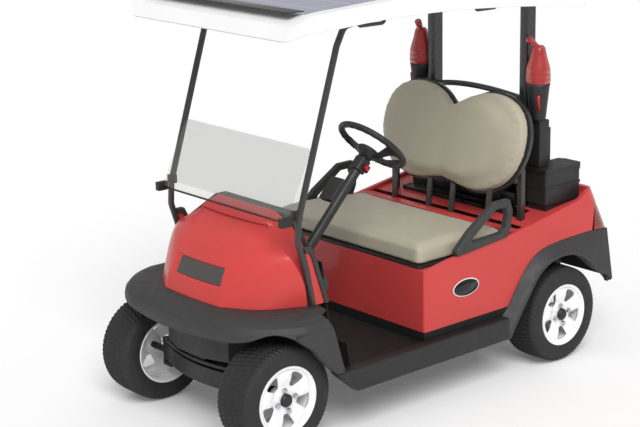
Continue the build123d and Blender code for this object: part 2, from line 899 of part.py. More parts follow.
# Dashboard with the two pillar trims that run down behind the front posts
front_cut = side_plate(
    [
        (firewall_y(200) + 8 + seat_gap, 200),
        (firewall_y(firewall_top_z) + 8 + seat_gap, firewall_top_z),
        (-1000, firewall_top_z),
        (-1000, 200),
    ],
    -firewall_half_width - seat_gap,
    firewall_half_width + seat_gap,
)
dash_outline = [
    (cowl_back_y + seat_gap, 956.0),
    (-640.0, 950.0),
    (-575.0, 900.0),
    (-560.0, 800.0),
    (-600.0, firewall_top_z + seat_gap),
    (cowl_back_y + seat_gap, firewall_top_z + seat_gap),
]
dash_plan = [
    # x, y of the rear face, thin at the sides and deep in the middle
    (442.0, -690.0),
    (380.0, -684.0),
    (300.0, -660.0),
    (250.0, -632.0),
    (200.0, -600.0),
    (120.0, -575.0),
]
dash_front_view = [
    # x, z
    (442.0, 700.0),
    (442.0, 818.0),
    (384.0, 855.0),
    (324.0, 895.0),
    (240.0, 950.0),
    (-240.0, 950.0),
    (-324.0, 895.0),
    (-384.0, 855.0),
    (-442.0, 818.0),
    (-442.0, 700.0),
]
trim_front = [
    # y, z of the trim's front edge
    (-657.0, post_foot_z),
    (-706.0, 743.0),
    (-722.0, 799.0),
    (-736.0, 829.0),
]
trim_outline = trim_front + [
    (-758.6, 829.0),
    (-765.2, 850.0),
    (-727.0, 850.0),
    (-701.0, 799.0),
    (-685.0, 743.0),
    (-636.0, post_foot_z),
]
with BuildPart() as dashboard:
    add(side_plate(dash_outline, -442, 442))
    with BuildSketch(Plane.XZ.offset(500)):
        with BuildLine():
            Polyline(*dash_front_view, close=True)
        make_face()
    extrude(amount=300, mode=Mode.INTERSECT)
    with BuildSketch(Plane.XY.offset(700)):
        with BuildLine():
            Polyline((442, -700), *dash_plan, *[(-x, y) for x, y in reversed(dash_plan)], (-442, -700), close=True)
        make_face()
    extrude(amount=300, mode=Mode.INTERSECT)
    for side in (1, -1):
        add(side_plate(trim_outline, side * 440, side * 466))
        add(block(side * 404, side * 441, -670, -616, 640, 690, 8))
    add(front_cut, mode=Mode.SUBTRACT)
save(dashboard.part, "dashboard")

# Pillar panels: the red strips between the front posts and the pillar trims
with BuildPart() as pillar_panels:
    for side in (1, -1):
        strip = [
            (-719.0 + front_post_radius + 1.5, post_foot_z),
            (-751.0 + front_post_radius + 1.5, 755.0),
            (-773.0 + front_post_radius + 1.5, 829.0 - seat_gap),
            (trim_front[3][0] - seat_gap, trim_front[3][1] - seat_gap),
            (trim_front[2][0] - seat_gap, trim_front[2][1]),
            (trim_front[1][0] - seat_gap, trim_front[1][1]),
            (trim_front[0][0] - seat_gap, trim_front[0][1]),
        ]
        add(side_plate(strip, side * 446, side * 458))
save(pillar_panels.part, "pillar_panels")

# Windscreen: a lower pane between the posts and the upper pane folded down in front of it
hinge_line = (-693.0, 1263.0)
pane_thickness = 4.0
pane_half_width = front_post_x - front_post_radius - seat_gap
panes = [
    # top y, top z, bottom y, bottom z
    (hinge_line[0] - 0.0, hinge_line[1], -781.5, 985.0),
    (hinge_line[0] - 4.5, hinge_line[1] - 1.4, -840.0, 972.0),
]
with BuildPart() as windscreen:
    for top_y, top_z, low_y, low_z in panes:
        rise = math.hypot(top_y - low_y, top_z - low_z)
        normal = (0, -(top_z - low_z) / rise, (top_y - low_y) / rise)
        middle = (0, (top_y + low_y) / 2, (top_z + low_z) / 2)
        with BuildSketch(Plane(origin=middle, x_dir=(1, 0, 0), z_dir=normal).offset(-pane_thickness / 2)):
            RectangleRounded(2 * pane_half_width, rise, 22)
        extrude(amount=pane_thickness)
save(windscreen.part, "windscreen")

# Seat pod: hollow red box under the seat, its side edges standing up beside the cushion
body_edge = [
    # y, z of the red body's top edge at the side
    (pod_front_y, pod_top),
    (0.0, 662.0),
    (pod_rear_y, 700.0),
    (741.0, 752.0),
    (880.0, 777.0),
    (935.0, 808.0),
    (965.0, 821.0),
    (988.0, 822.0),
    (1003.0, 816.0),
]
pod_edge = [point for point in body_edge if point[0] <= pod_rear_y]
with BuildPart() as seat_pod:
    add(side_plate([(pod_front_y, pod_bottom)] + pod_edge + [(pod_rear_y, pod_bottom)], -body_half_width, body_half_width))
    front_edges = seat_pod.edges().filter_by(Axis.Z).group_by(Axis.Y)[0]
    fillet(front_edges, 12)
    inside = body_half_width - wall
    add(block(-inside, inside, pod_front_y + wall, pod_rear_y - wall, pod_bottom - 10, pod_top - wall, 9), mode=Mode.SUBTRACT)
    add(block(-rim_inside, rim_inside, pod_front_y - 5, pod_rear_y + 5, pod_top, 760), mode=Mode.SUBTRACT)
save(seat_pod.part, "seat_pod")

# Seat base, cushion and back
base_low = pod_top + seat_gap
cushion_low = base_low + seat_base_thickness + seat_gap
save(block(-seat_half_width, seat_half_width, -152, 372, base_low, base_low + seat_base_thickness, 20), "seat_base")
save(
    block(
        -seat_half_width - 4,
        seat_half_width + 4,
        -157,
        385,
        cushion_low,
        cushion_low + cushion_thickness,
        30,
    ),
    "seat_cushion",
)
back_points = [
    # x, height above the back's foot
    (0.0, 398.0),
    (58.0, 424.0),
    (140.0, 468.0),
    (255.0, 486.0),
    (370.0, 460.0),
    (445.0, 396.0),
    (479.0, 296.0),
    (463.0, 176.0),
    (400.0, 76.0),
    (300.0, 18.0),
    (200.0, 2.0),
    (90.0, 15.0),
    (0.0, 29.0),
]
shell_thickness = 18.0
shell_growth = 1.025
back_lean = 0.25
back_foot_y = 519.0
back_foot_z = 822.0
back_outline = back_points + [(-x, v) for x, v in reversed(back_points[1:-1])]
shell_outline = [(x * shell_growth, 245 + (v - 245) * shell_growth) for x, v in back_outline]
back_plane = Plane(origin=(0, back_foot_y, back_foot_z), x_dir=(1, 0, 0), z_dir=(0, -1, back_lean))
with BuildPart() as seat_back:
    with BuildSketch(back_plane):
        with BuildLine():
            Spline(*back_outline, periodic=True)
        make_face()
    extrude(amount=seat_back_thickness)
save(seat_back.part, "seat_back")

# Rear body: red shell over the rear axle with a sunk deck and a raised tail
flare_top = [
    # y, z of the rear fender's top edge against the body
    (sill_rear_y + seat_gap, 316.0),
    (393.0, 362.0),
    (433.0, 422.0),
    (500.0, 506.0),
    (569.0, 564.0),
    (674.0, 594.0),
    (819.0, 604.0),
    (990.0, 606.0),
    (1097.0, 598.0),
    (1180.0, 590.0),
]
deck_curve = [
    # y, z of the sunk deck
    (400.0, 682.0),
    (741.0, 738.0),
    (962.0, 765.0),
]
tail_wall_y = 972.0
tail_foot_y = 1138.0
tail_slope = 0.54
deck_half_width = 528.0
deck_under = side_plate(
    [(380.0, 500.0), (380.0, deck_curve[0][1] - 3)] + raised(deck_curve, seat_gap) + [(962.0, 500.0)],
    -deck_half_width - 40,
    deck_half_width + 40,
)


def tail_plan(inset):
    """The body's rounded rear end, leaning forwards as it rises."""
    with BuildPart() as shape:
        for z in (380.0, 900.0):
            rear_y = tail_foot_y - tail_slope * (z - 591) - inset
            with BuildSketch(Plane.XY.offset(z)):
                with Locations((0, (rear_y + 200) / 2)):
                    RectangleRounded(2 * (body_half_width - inset), rear_y - 200, 85 - inset)
        loft()
    return shape.part


def body_side_outline(top, bottom):
    """Side outline between a top and a bottom curve of (y, z) points."""
    return top + [(bottom[-1][0], top[-1][1])] + list(reversed(bottom))


rear_y0 = pod_rear_y + seat_gap
body_top = [(rear_y0, curve_height(body_edge, rear_y0))] + [point for point in body_edge if point[0] > rear_y0]
body_bottom = [(rear_y0, 403.0)] + [point for point in raised(flare_top, seat_gap) if point[0] > rear_y0]
hollow_top = [
    (300.0, 672.0),
    (741.0, 732.0),
    (954.0, 757.0),
    (979.0, 788.0),
    (982.0, 808.0),
    (1003.0, 809.0),
]
deck_cut = raised(deck_curve, 0) + [(tail_wall_y, 792.0), (tail_wall_y, 950.0), (380.0, 950.0), (380.0, 678.0)]
lamp_zone = [
    # y, z
    (1000.0, 738.0),
    (1300.0, 738.0),
    (1300.0, 590.0),
    (1180.0, 590.0 + seat_gap),
    (1097.0, 598.0 + seat_gap),
    (984.0, 606.0 + seat_gap),
]
lamp_thickness = 16.0
lamp_inner_x = 430.0
with BuildPart() as rear_body:
    add(side_plate(body_side_outline(body_top, body_bottom), -body_half_width, body_half_width))
    add(tail_plan(0), mode=Mode.INTERSECT)
    add(side_plate(deck_cut, -deck_half_width, deck_half_width), mode=Mode.SUBTRACT)
    with BuildPart(mode=Mode.PRIVATE) as hollow:
        add(side_plate(hollow_top + [(1250.0, 809.0), (1250.0, 350.0), (300.0, 350.0)], -546, 546))
        add(tail_plan(wall), mode=Mode.INTERSECT)
    add(hollow.part, mode=Mode.SUBTRACT)
    for side in (1, -1):
        add(side_plate(lamp_zone, side * lamp_inner_x, side * 560), mode=Mode.SUBTRACT)
save(rear_body.part, "rear_body")

# Tail lamps wrapped round the rear corners, with louvre grooves
louvre_count = 6
louvre_low = 628.0
louvre_pitch = 16.0
with BuildPart() as tail_lamps:
    for side in (1, -1):
        with BuildPart(mode=Mode.PRIVATE) as lamp:
            add(side_plate(lamp_zone, side * (lamp_inner_x + seat_gap), side * 560))
            add(tail_plan(0), mode=Mode.INTERSECT)
            add(tail_plan(lamp_thickness), mode=Mode.SUBTRACT)
            add(block(side * 400, side * 560, 900, 1000.5, 560, 780), mode=Mode.SUBTRACT)
            with BuildPart(mode=Mode.PRIVATE) as slats:
                for step in range(louvre_count):
                    z = louvre_low + louvre_pitch * step
                    add(block(side * 380, side * 600, 960, 1300, z, z + 5))
                add(tail_plan(3), mode=Mode.SUBTRACT)
            add(slats.part, mode=Mode.SUBTRACT)
        add(lamp.part)
save(tail_lamps.part, "tail_lamps")

# Rear fenders: flared bands over the wheels, joined by the wrapped rear bumper
arch_points = [
    # y, z of the arch's lower edge
    (356.0, sill_low),
    (382.0, 248.0),
    (436.0, 324.0),
    (497.0, 409.0),
    (558.0, 480.0),
    (642.0, 526.0),
    (764.0, 535.0),
    (860.0, 505.0),
    (968.0, 421.0),
    (1030.0, 384.0),
    (1079.0, 340.0),
]
lip_points = [
    # y, z of the outer lip, kept about 15 outside the arch
    (sill_rear_y + seat_gap, 238.0),
    (370.0, 266.0),
    (424.0, 338.0),
    (486.0, 422.0),
    (550.0, 496.0),
    (640.0, 543.0),
    (768.0, 551.0),
    (868.0, 519.0),
    (976.0, 436.0),
    (1040.0, 396.0),
    (1089.0, 350.0),
]
flare_edge = [point for point in flare_top if point[0] < 1100]
bumper_top = 590.0
bumper_low = 340.0


def bumper_plan(inset):
    """The bumper's wrapped outline, wider and further back at its foot."""
    sections = [
        # z, half width, rear y, corner radius
        (bumper_low, 600.0, 1144.0, 108.0),
        (bumper_top, 551.0, 1136.0, 82.0),
    ]
    with BuildPart() as shape:
        for z, half, rear, radius in sections:
            with BuildSketch(Plane.XY.offset(z)):
                with Locations((0, (rear - inset + 500) / 2)):
                    RectangleRounded(2 * (half - inset), rear - inset - 500, radius - inset)
        loft()
    return shape.part


with BuildPart() as rear_fenders:
    for side in (1, -1):
        with BuildPart(mode=Mode.PRIVATE) as flare:
            with BuildSketch(Plane.YZ.offset(side * (body_half_width + seat_gap))):
                with BuildLine():
                    Polyline(arch_points[0], (sill_rear_y + seat_gap, sill_low), flare_edge[0])
                    Spline(*flare_edge)
                    Line(flare_edge[-1], arch_points[-1])
                    Spline(*arch_points)
                make_face()
            with BuildSketch(Plane.YZ.offset(side * flare_half_width)):
                with BuildLine():
                    Polyline(arch_points[0], (sill_rear_y + seat_gap, sill_low), lip_points[0])
                    Spline(*lip_points)
                    Line(lip_points[-1], arch_points[-1])
                    Spline(*arch_points)
                make_face()
            loft()
        add(flare.part)
    with BuildPart(mode=Mode.PRIVATE) as bumper:
        add(bumper_plan(0))
        add(bumper_plan(20), mode=Mode.SUBTRACT)
        add(block(-700, 700, 400, 1052, 300, 640), mode=Mode.SUBTRACT)
        add(block(-330, 330, 1118, rear_end_y, 430, 520, 10))
        add(block(-44, 44, 1040, 1170, 330, 366), mode=Mode.SUBTRACT)
    add(bumper.part)
save(rear_fenders.part, "rear_fenders")

# Rear posts with their feet on the deck and the arched bar between them
post_back_y = rear_post_y + rear_post_depth / 2
post_inside_x = rear_post_x - rear_post_width / 2
with BuildPart() as rear_posts:
    for side in (1, -1):
        with BuildSketch(Plane.XY.offset(690)):
            with Locations((side * rear_post_x, rear_post_y)):
                RectangleRounded(rear_post_width, rear_post_depth, 16)
        extrude(amount=1130)
        with BuildSketch(Plane.XY.offset(690)):
            with Locations((side * rear_post_x, rear_post_y)):
                RectangleRounded(rear_post_width + 12, rear_post_depth + 14, 14)
        extrude(amount=230)
    with BuildLine() as route:
        ThreePointArc((-post_inside_x - 10, rear_post_y, 1255), (0, rear_post_y - 40, 1290), (post_inside_x + 10, rear_post_y, 1255))
    with BuildSketch(Plane(origin=route.line @ 0, z_dir=route.line % 0)):
        Circle(14)
    sweep(path=route.line)
    add(keepout, mode=Mode.SUBTRACT)
    add(deck_under, mode=Mode.SUBTRACT)
save(rear_posts.part, "rear_posts")

# Bag support: an open box with two bays behind the rear posts
bag_half_width = 330.0
bag_y0 = post_back_y + 10
bag_y1 = 922.0
bag_high = 1135.0
bag_wall = 10.0
with BuildPart() as bag_support:
    add(block(-bag_half_width, bag_half_width, bag_y0, bag_y1, 690, bag_high, 16))
    for side in (1, -1):
        x0, x1 = sorted((side * bag_wall / 2, side * (bag_half_width - bag_wall)))
        add(block(x0, x1, bag_y0 + bag_wall, bag_y1 + 30, 790, bag_high + 10), mode=Mode.SUBTRACT)
    add(side_plate([(bag_y0 - 10, bag_high), (bag_y0, bag_high), (bag_y1 + 5, bag_high - 40), (bag_y1 + 5, 1300), (bag_y0 - 10, 1300)], -400, 400), mode=Mode.SUBTRACT)
    add(deck_under, mode=Mode.SUBTRACT)
save(bag_support.part, "bag_support")

# Cooler on the left, with a lid hinged on a pin along its rear edge
cooler_low = 768.0
cooler_high = 928.0
cooler_x0 = 353.0
cooler_x1 = 488.0
cooler_y0 = 710.0
cooler_y1 = 958.0
cooler_wall = 12.0
cooler_band = 846.0
hinge_y = cooler_y1 + 8
hinge_z = cooler_high + 8
hinge_pin = 4.0
hinge_barrel = 7.0
lug_width = 6.0
with BuildPart() as cooler_box:
    add(block(cooler_x0, cooler_x1, cooler_y0, cooler_y1, cooler_low, cooler_high, 14))
    add(block(cooler_x0 - 3, cooler_x1 + 5, cooler_y0 - 5, cooler_y1 + 4, cooler_band, cooler_band + 9, 16))
    add(block(cooler_x0 + 10, cooler_x1 - 10, cooler_y0 + 12, 950, 700, cooler_low + 1))
    add(deck_under, mode=Mode.SUBTRACT)
    add(
        block(
            cooler_x0 + cooler_wall,
            cooler_x1 - cooler_wall,
            cooler_y0 + cooler_wall,
            cooler_y1 - cooler_wall,
            cooler_low + cooler_wall,
            cooler_high + 10,
            8,
        ),
        mode=Mode.SUBTRACT,
    )
    for x in (cooler_x0 + 14, cooler_x1 - 14 - lug_width):
        lug = [
            (cooler_y1 - 2, hinge_z - 60),
            (hinge_y + hinge_barrel - 1, hinge_z - 20),
            (hinge_y + hinge_barrel - 1, hinge_z + 3),
            (hinge_y + 3, hinge_z + hinge_barrel - 1),
            (hinge_y - 3, hinge_z + hinge_barrel - 1),
            (hinge_y - hinge_barrel + 1, hinge_z + 3),
            (hinge_y - hinge_barrel + 1, cooler_high - 4),
            (cooler_y1 - 2, cooler_high - 4),
        ]
        add(side_plate(lug, x, x + lug_width))
    with BuildSketch(Plane.YZ.offset(cooler_x0 + 15)):
        with Locations((hinge_y, hinge_z)):
            Circle(hinge_pin)
    extrude(amount=cooler_x1 - cooler_x0 - 30)
save(cooler_box.part, "cooler_box")
with BuildPart() as cooler_lid:
    add(block(cooler_x0 - 4, cooler_x1 + 8, cooler_y0 - 7, hinge_y - 10, cooler_high + 0.5, cooler_high + 15, 14))
    with BuildSketch(Plane.YZ.offset(cooler_x0 + 26)):
        with Locations((hinge_y, hinge_z)):
            Circle(hinge_barrel)
        with Locations((hinge_y - 7, hinge_z)):
            Rectangle(14, 12)
    extrude(amount=cooler_x1 - cooler_x0 - 52)
    with BuildSketch(Plane.YZ.offset(cooler_x0 + 10)):
        with Locations((hinge_y, hinge_z)):
            Circle(hinge_pin + running_clearance)
    extrude(amount=cooler_x1 - cooler_x0 - 20, mode=Mode.SUBTRACT)
save(cooler_lid.part, "cooler_lid")

# Steering column and wheel on one inclined axis
lean = math.radians(column_angle)
column_dir = (0, math.cos(lean), math.sin(lean))
rim_dir = (0, -math.sin(lean), math.cos(lean))
hub_point = (column_x, steering_hub_y, steering_hub_z)


def on_column(distance):
    """A point on the column's axis, measured down from the middle of the steering wheel."""
    return (
        column_x,
        steering_hub_y - distance * math.cos(lean),
        steering_hub_z - distance * math.sin(lean),
    )


column_start = 76.0
column_end = 720.0
with BuildPart() as steering_column:
    with BuildSketch(Plane(origin=on_column(column_start), x_dir=(1, 0, 0), z_dir=column_dir)):
        Circle(column_radius)
    extrude(amount=-(column_end - column_start))
    with BuildSketch(Plane(origin=on_column(column_start), x_dir=(1, 0, 0), z_dir=column_dir)):
        RectangleRounded(60, 58, 14)
    extrude(amount=-62)
    with BuildSketch(Plane(origin=on_column(column_start + 20), x_dir=(1, 0, 0), z_dir=column_dir)):
        with Locations((30, 22)):
            Circle(11)
    extrude(amount=-30)
    with BuildSketch(Plane(origin=on_column(200), x_dir=(1, 0, 0), z_dir=column_dir)):
        with Locations((-62, -4)):
            RectangleRounded(86, 30, 6)
        with Locations((-20, -4)):
            Rectangle(30, 20)
    extrude(amount=-112)
    with BuildSketch(Plane(origin=on_column(column_start), x_dir=(1, 0, 0), z_dir=column_dir)):
        Circle(steering_shaft_radius + running_clearance)
    extrude(amount=-70, mode=Mode.SUBTRACT)
    add(block(column_x - 14, column_x + 14, -690, -600, 770, 788))
    add(dashboard.part, mode=Mode.SUBTRACT)
    add(front_cut, mode=Mode.SUBTRACT)
save(steering_column.part, "steering_column")

spoke_plane = Plane(origin=on_column(hub_drop), x_dir=(1, 0, 0), z_dir=column_dir)
spokes = [
    # direction in degrees, width at the hub, width at the rim
    (5.0, 62.0, 60.0),
    (175.0, 62.0, 60.0),
    (270.0, 58.0, 44.0),
]
with BuildPart() as steering_wheel:
    with BuildSketch(Plane(origin=hub_point, x_dir=(1, 0, 0), z_dir=rim_dir)):
        with Locations((steering_wheel_radius, 0)):
            Circle(steering_wheel_grip)
    revolve(axis=Axis(hub_point, column_dir))
    with BuildSketch(spoke_plane.offset(-20)):
        Circle(46)
    extrude(amount=34, taper=14)
    for angle, hub_width, rim_width in spokes:
        turn = math.radians(angle)
        out = (math.cos(turn), math.sin(turn))
        across = (-math.sin(turn), math.cos(turn))
        with BuildPart(mode=Mode.PRIVATE) as spoke:
            for radius, height, width in ((26.0, 2.0, hub_width), (steering_wheel_radius - 4, hub_drop - 2, rim_width)):
                middle = spoke_plane.from_local_coords((out[0] * radius, out[1] * radius, height))
                x_dir = spoke_plane.from_local_coords(across) - spoke_plane.origin
                up_dir = spoke_plane.z_dir
                with BuildSketch(Plane(origin=middle, x_dir=x_dir, z_dir=x_dir.cross(up_dir))):
                    RectangleRounded(width, 13, 5)
            loft()
            with BuildSketch(spoke_plane.offset(-20)):
                with Locations((out[0] * 98, out[1] * 98)):
                    Circle(19)
            extrude(amount=90, mode=Mode.SUBTRACT)
        add(spoke.part)
    with BuildSketch(Plane(origin=on_column(hub_drop + 80), x_dir=(1, 0, 0), z_dir=column_dir)):
        Circle(steering_shaft_radius)
    extrude(amount=90)
save(steering_wheel.part, "steering_wheel")

# Armrests on the body's side edges
arm_outer = [
    # y, z
    (34.0, 690.0),
    (120.0, 768.0),
    (286.0, 872.0),
    (384.0, 874.0),
    (404.0, 820.0),
    (394.0, 744.0),
]
arm_hole = [
    (112.0, 714.0),
    (292.0, 838.0),
    (356.0, 840.0),
    (368.0, 800.0),
    (354.0, 742.0),
    (330.0, 722.0),
]
arm_x0 = 529.0
arm_x1 = 561.0
arm_foot = [(y, curve_height(body_edge, y) + seat_gap) for y in (372.0, 44.0)]
with BuildPart() as armrests:
    for side in (1, -1):
        with BuildPart(mode=Mode.PRIVATE) as arm:
            with BuildSketch(Plane.YZ.offset(side * arm_x0)):
                with BuildLine():
                    FilletPolyline(*arm_outer, *arm_foot, radius=10, close=True)
                make_face()
                with BuildLine():
                    FilletPolyline(*arm_hole, radius=10, close=True)
                make_face(mode=Mode.SUBTRACT)
            extrude(amount=side * (arm_x1 - arm_x0))
            face_edges = arm.faces().filter_by(Axis.X).sort_by(Axis.X)[-1 if side > 0 else 0].edges()
            fillet(face_edges, 7)
        add(arm.part)
save(armrests.part, "armrests")

# Seat back frame: straps up to the back's foot, and two uprights with a bar behind it
strap_places = (-325.0, -80.0, 80.0, 325.0)
strap_outline = [
    (466.0, 640.0),
    (478.0, 640.0),
    (478.0, 700.0),
    (502.0, 880.0),
    (490.0, 880.0),
    (466.0, 700.0),
]
back_bar_outline = [
    # y, z
    (548.0, 896.0),
    (600.0, 896.0),
    (600.0, 944.0),
    (548.0, 944.0),
]
with BuildPart() as seat_back_frame:
    with BuildSketch(back_plane.offset(-seat_gap)):
        with BuildLine():
            Spline(*shell_outline, periodic=True)
        make_face()
    extrude(amount=-shell_thickness)
    for x in strap_places:
        add(side_plate(strap_outline, x - 15, x + 15))
    for side in (1, -1):
        add(side_plate([(574, 640), (602, 640), (602, 962), (574, 962)], side * 424, side * 452, 6))
    add(side_plate(back_bar_outline, -438, 438))
    add(Pos(0, 0, -seat_gap) * seat_back.part, mode=Mode.SUBTRACT)
    add(deck_under, mode=Mode.SUBTRACT)
save(seat_back_frame.part, "seat_back_frame")

# Sand bottles in their cups, outside the rear posts
bottle_profile = [
    # radius, z
    (0.0, 1148.0),
    (33.0, 1148.0),
    (38.0, 1160.0),
    (50.0, 1338.0),
    (53.0, 1350.0),
    (49.0, 1352.0),
    (49.0, 1428.0),
    (45.0, 1440.0),
    (34.0, 1492.0),
    (14.0, 1524.0),
    (9.0, 1566.0),
    (0.0, 1566.0),
]
bottle_x = 402.0
bottle_y = 736.0
with BuildPart() as sand_bottles:
    for side in (1, -1):
        with BuildSketch(Plane(origin=(side * bottle_x, bottle_y, 0), x_dir=(1, 0, 0), z_dir=(0, -1, 0))):
            with BuildLine():
                Polyline(*bottle_profile, close=True)
            make_face()
        revolve(axis=Axis((side * bottle_x, bottle_y, 0), (0, 0, 1)))
        x0, x1 = sorted((side * (rear_post_x + rear_post_width / 2 + seat_gap), side * (bottle_x - 20)))
        add(block(x0, x1, bottle_y - 13, bottle_y + 13, 1200, 1300))
save(sand_bottles.part, "sand_bottles")

# Pedals: accelerator and brake on arms from the firewall
pedal_places = [
    # x, pad width
    (120.0, 60.0),
    (255.0, 80.0),
]
with BuildPart() as pedals:
    for x, width in pedal_places:
        add(side_plate([(-640, 388), (-640, 400), (-590, 400), (-500, 340), (-508, 330), (-594, 388)], x - 8, x + 8))
        add(side_plate([(-540, 318), (-480, 385), (-472, 378), (-532, 311)], x - width / 2, x + width / 2))
    add(front_cut, mode=Mode.SUBTRACT)
    add(floor_pan.part, mode=Mode.SUBTRACT)
save(pedals.part, "pedals")
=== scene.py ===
# %% [markdown]
# # A golf cart, dressed in Blender
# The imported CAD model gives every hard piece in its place. This lesson loads it as a
# fixed frame, gives each piece a finish, and builds the pieces whose look CAD can't
# carry: tyres with tread, the nose shell, stuffed seats and the small fittings.

# %% Load the frame
import json
import math

import bmesh
import bpy
import numpy as np
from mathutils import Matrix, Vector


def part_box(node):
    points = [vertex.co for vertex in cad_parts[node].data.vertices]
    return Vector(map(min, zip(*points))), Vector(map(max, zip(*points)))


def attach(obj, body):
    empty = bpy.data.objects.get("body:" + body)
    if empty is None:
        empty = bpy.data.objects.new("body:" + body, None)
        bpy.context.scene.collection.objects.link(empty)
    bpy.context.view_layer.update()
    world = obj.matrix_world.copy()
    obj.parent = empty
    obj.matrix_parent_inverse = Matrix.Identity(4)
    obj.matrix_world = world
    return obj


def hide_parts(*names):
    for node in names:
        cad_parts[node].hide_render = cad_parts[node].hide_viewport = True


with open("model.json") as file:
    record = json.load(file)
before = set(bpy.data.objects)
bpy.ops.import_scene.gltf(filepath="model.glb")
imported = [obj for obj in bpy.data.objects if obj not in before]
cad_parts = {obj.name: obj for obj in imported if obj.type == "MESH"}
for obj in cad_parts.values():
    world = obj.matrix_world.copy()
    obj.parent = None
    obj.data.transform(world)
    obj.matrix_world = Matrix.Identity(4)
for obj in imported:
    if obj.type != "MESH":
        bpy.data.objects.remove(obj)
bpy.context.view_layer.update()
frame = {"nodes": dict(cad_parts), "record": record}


# %% [markdown]
# ## Camera
# The photograph was taken from the cart's front left, above head height, with a long
# lens. The camera is set by its compass angle and its tilt. The picture is a crop of a
# wider one, which the sideways shift repeats.

# %% Camera
azimuth = math.radians(45.71)
elevation = math.radians(15.15)
camera_data = bpy.data.cameras.new("camera")
camera_data.sensor_width = 36.0
camera_data.lens = 89.29
camera_data.shift_x = -0.1875
camera_data.clip_end = 200.0
camera = bpy.data.objects.new("camera", camera_data)
camera.location = (5.399, -4.790, 2.722)
camera.rotation_euler = (math.pi / 2 - elevation, 0.0, azimuth)
bpy.context.scene.collection.objects.link(camera)
bpy.context.scene.camera = camera
print("camera at", tuple(camera.location))

# %% [markdown]
# ## Floor and light
# A studio sweep lights the cart from all round, so the world is an even soft white and one
# broad lamp gives the shapes a direction. The white of the background is the floor's
# own colour, lifted a little for camera rays only, so the shadow under the cart stays.

# %% Floor
def empty_material(name):
    """A new material with no nodes, its node tree and an output node."""
    material = bpy.data.materials.new(name)
    material.use_nodes = True
    tree = material.node_tree
    tree.nodes.clear()
    return material, tree, tree.nodes.new("ShaderNodeOutputMaterial")


floor_material, tree, output = empty_material("studio_floor")
diffuse = tree.nodes.new("ShaderNodeBsdfDiffuse")
diffuse.inputs["Color"].default_value = (0.93, 0.93, 0.93, 1)
lift = tree.nodes.new("ShaderNodeEmission")
rays = tree.nodes.new("ShaderNodeLightPath")
scale = tree.nodes.new("ShaderNodeMath")
scale.operation = "MULTIPLY"
scale.inputs[1].default_value = 0.1
total = tree.nodes.new("ShaderNodeAddShader")
tree.links.new(rays.outputs["Is Camera Ray"], scale.inputs[0])
tree.links.new(scale.outputs[0], lift.inputs["Strength"])
tree.links.new(diffuse.outputs[0], total.inputs[0])
tree.links.new(lift.outputs[0], total.inputs[1])
tree.links.new(total.outputs[0], output.inputs["Surface"])

floor_mesh = bpy.data.meshes.new("floor")
corners = [(-60, -60, 0), (60, -60, 0), (60, 60, 0), (-60, 60, 0)]
floor_mesh.from_pydata(corners, [], [(0, 1, 2, 3)])
floor = bpy.data.objects.new("floor", floor_mesh)
floor_mesh.materials.append(floor_material)
bpy.context.scene.collection.objects.link(floor)

# %% Light
world = bpy.data.worlds.new("studio")
bpy.context.scene.world = world
world.use_nodes = True
sky = world.node_tree
sky.nodes.clear()
sky_out = sky.nodes.new("ShaderNodeOutputWorld")
soft = sky.nodes.new("ShaderNodeBackground")
soft.inputs["Color"].default_value = (1, 1, 1, 1)
soft.inputs["Strength"].default_value = 0.48
shown = sky.nodes.new("ShaderNodeBackground")
shown.inputs["Color"].default_value = (1, 1, 1, 1)
shown.inputs["Strength"].default_value = 1.0
path = sky.nodes.new("ShaderNodeLightPath")
choose = sky.nodes.new("ShaderNodeMixShader")
sky.links.new(path.outputs["Is Camera Ray"], choose.inputs[0])
sky.links.new(soft.outputs[0], choose.inputs[1])
sky.links.new(shown.outputs[0], choose.inputs[2])
sky.links.new(choose.outputs[0], sky_out.inputs["Surface"])

lamp_data = bpy.data.lights.new("broad_lamp", "SUN")
lamp_data.energy = 2.15
lamp_data.angle = math.radians(35)
lamp = bpy.data.objects.new("broad_lamp", lamp_data)
lamp.rotation_euler = (math.radians(42), math.radians(14), math.radians(44))
bpy.context.scene.collection.objects.link(lamp)
bpy.context.scene.view_settings.view_transform = "Standard"
print("world strength", soft.inputs["Strength"].default_value)

# %% [markdown]
# ## Finishes
# Every finish starts from the same recipe: a base colour that drifts slightly over the
# piece, a roughness that varies with it, and a fine bump at the real grain's size. Paint
# gets a clear coat, vinyl a pebbled grain, moulded plastic a fine stipple.

# %% The recipe for a finish
def linear(red, green, blue):
    """Screen colour 0 to 255 as the linear numbers that a shader takes."""
    values = []
    for part in (red, green, blue):
        c = part / 255
        values.append(c / 12.92 if c < 0.04045 else ((c + 0.055) / 1.055) ** 2.4)
    return (*values, 1.0)


def add_noise(tree, scale, detail=3.0, kind="ShaderNodeTexNoise"):
    """A noise or cell texture that follows the object's own metres."""
    place = tree.nodes.new("ShaderNodeTexCoord")
    texture = tree.nodes.new(kind)
    texture.inputs["Scale"].default_value = scale
    if kind == "ShaderNodeTexNoise":
        texture.inputs["Detail"].default_value = detail
    tree.links.new(place.outputs["Object"], texture.inputs["Vector"])
    return texture


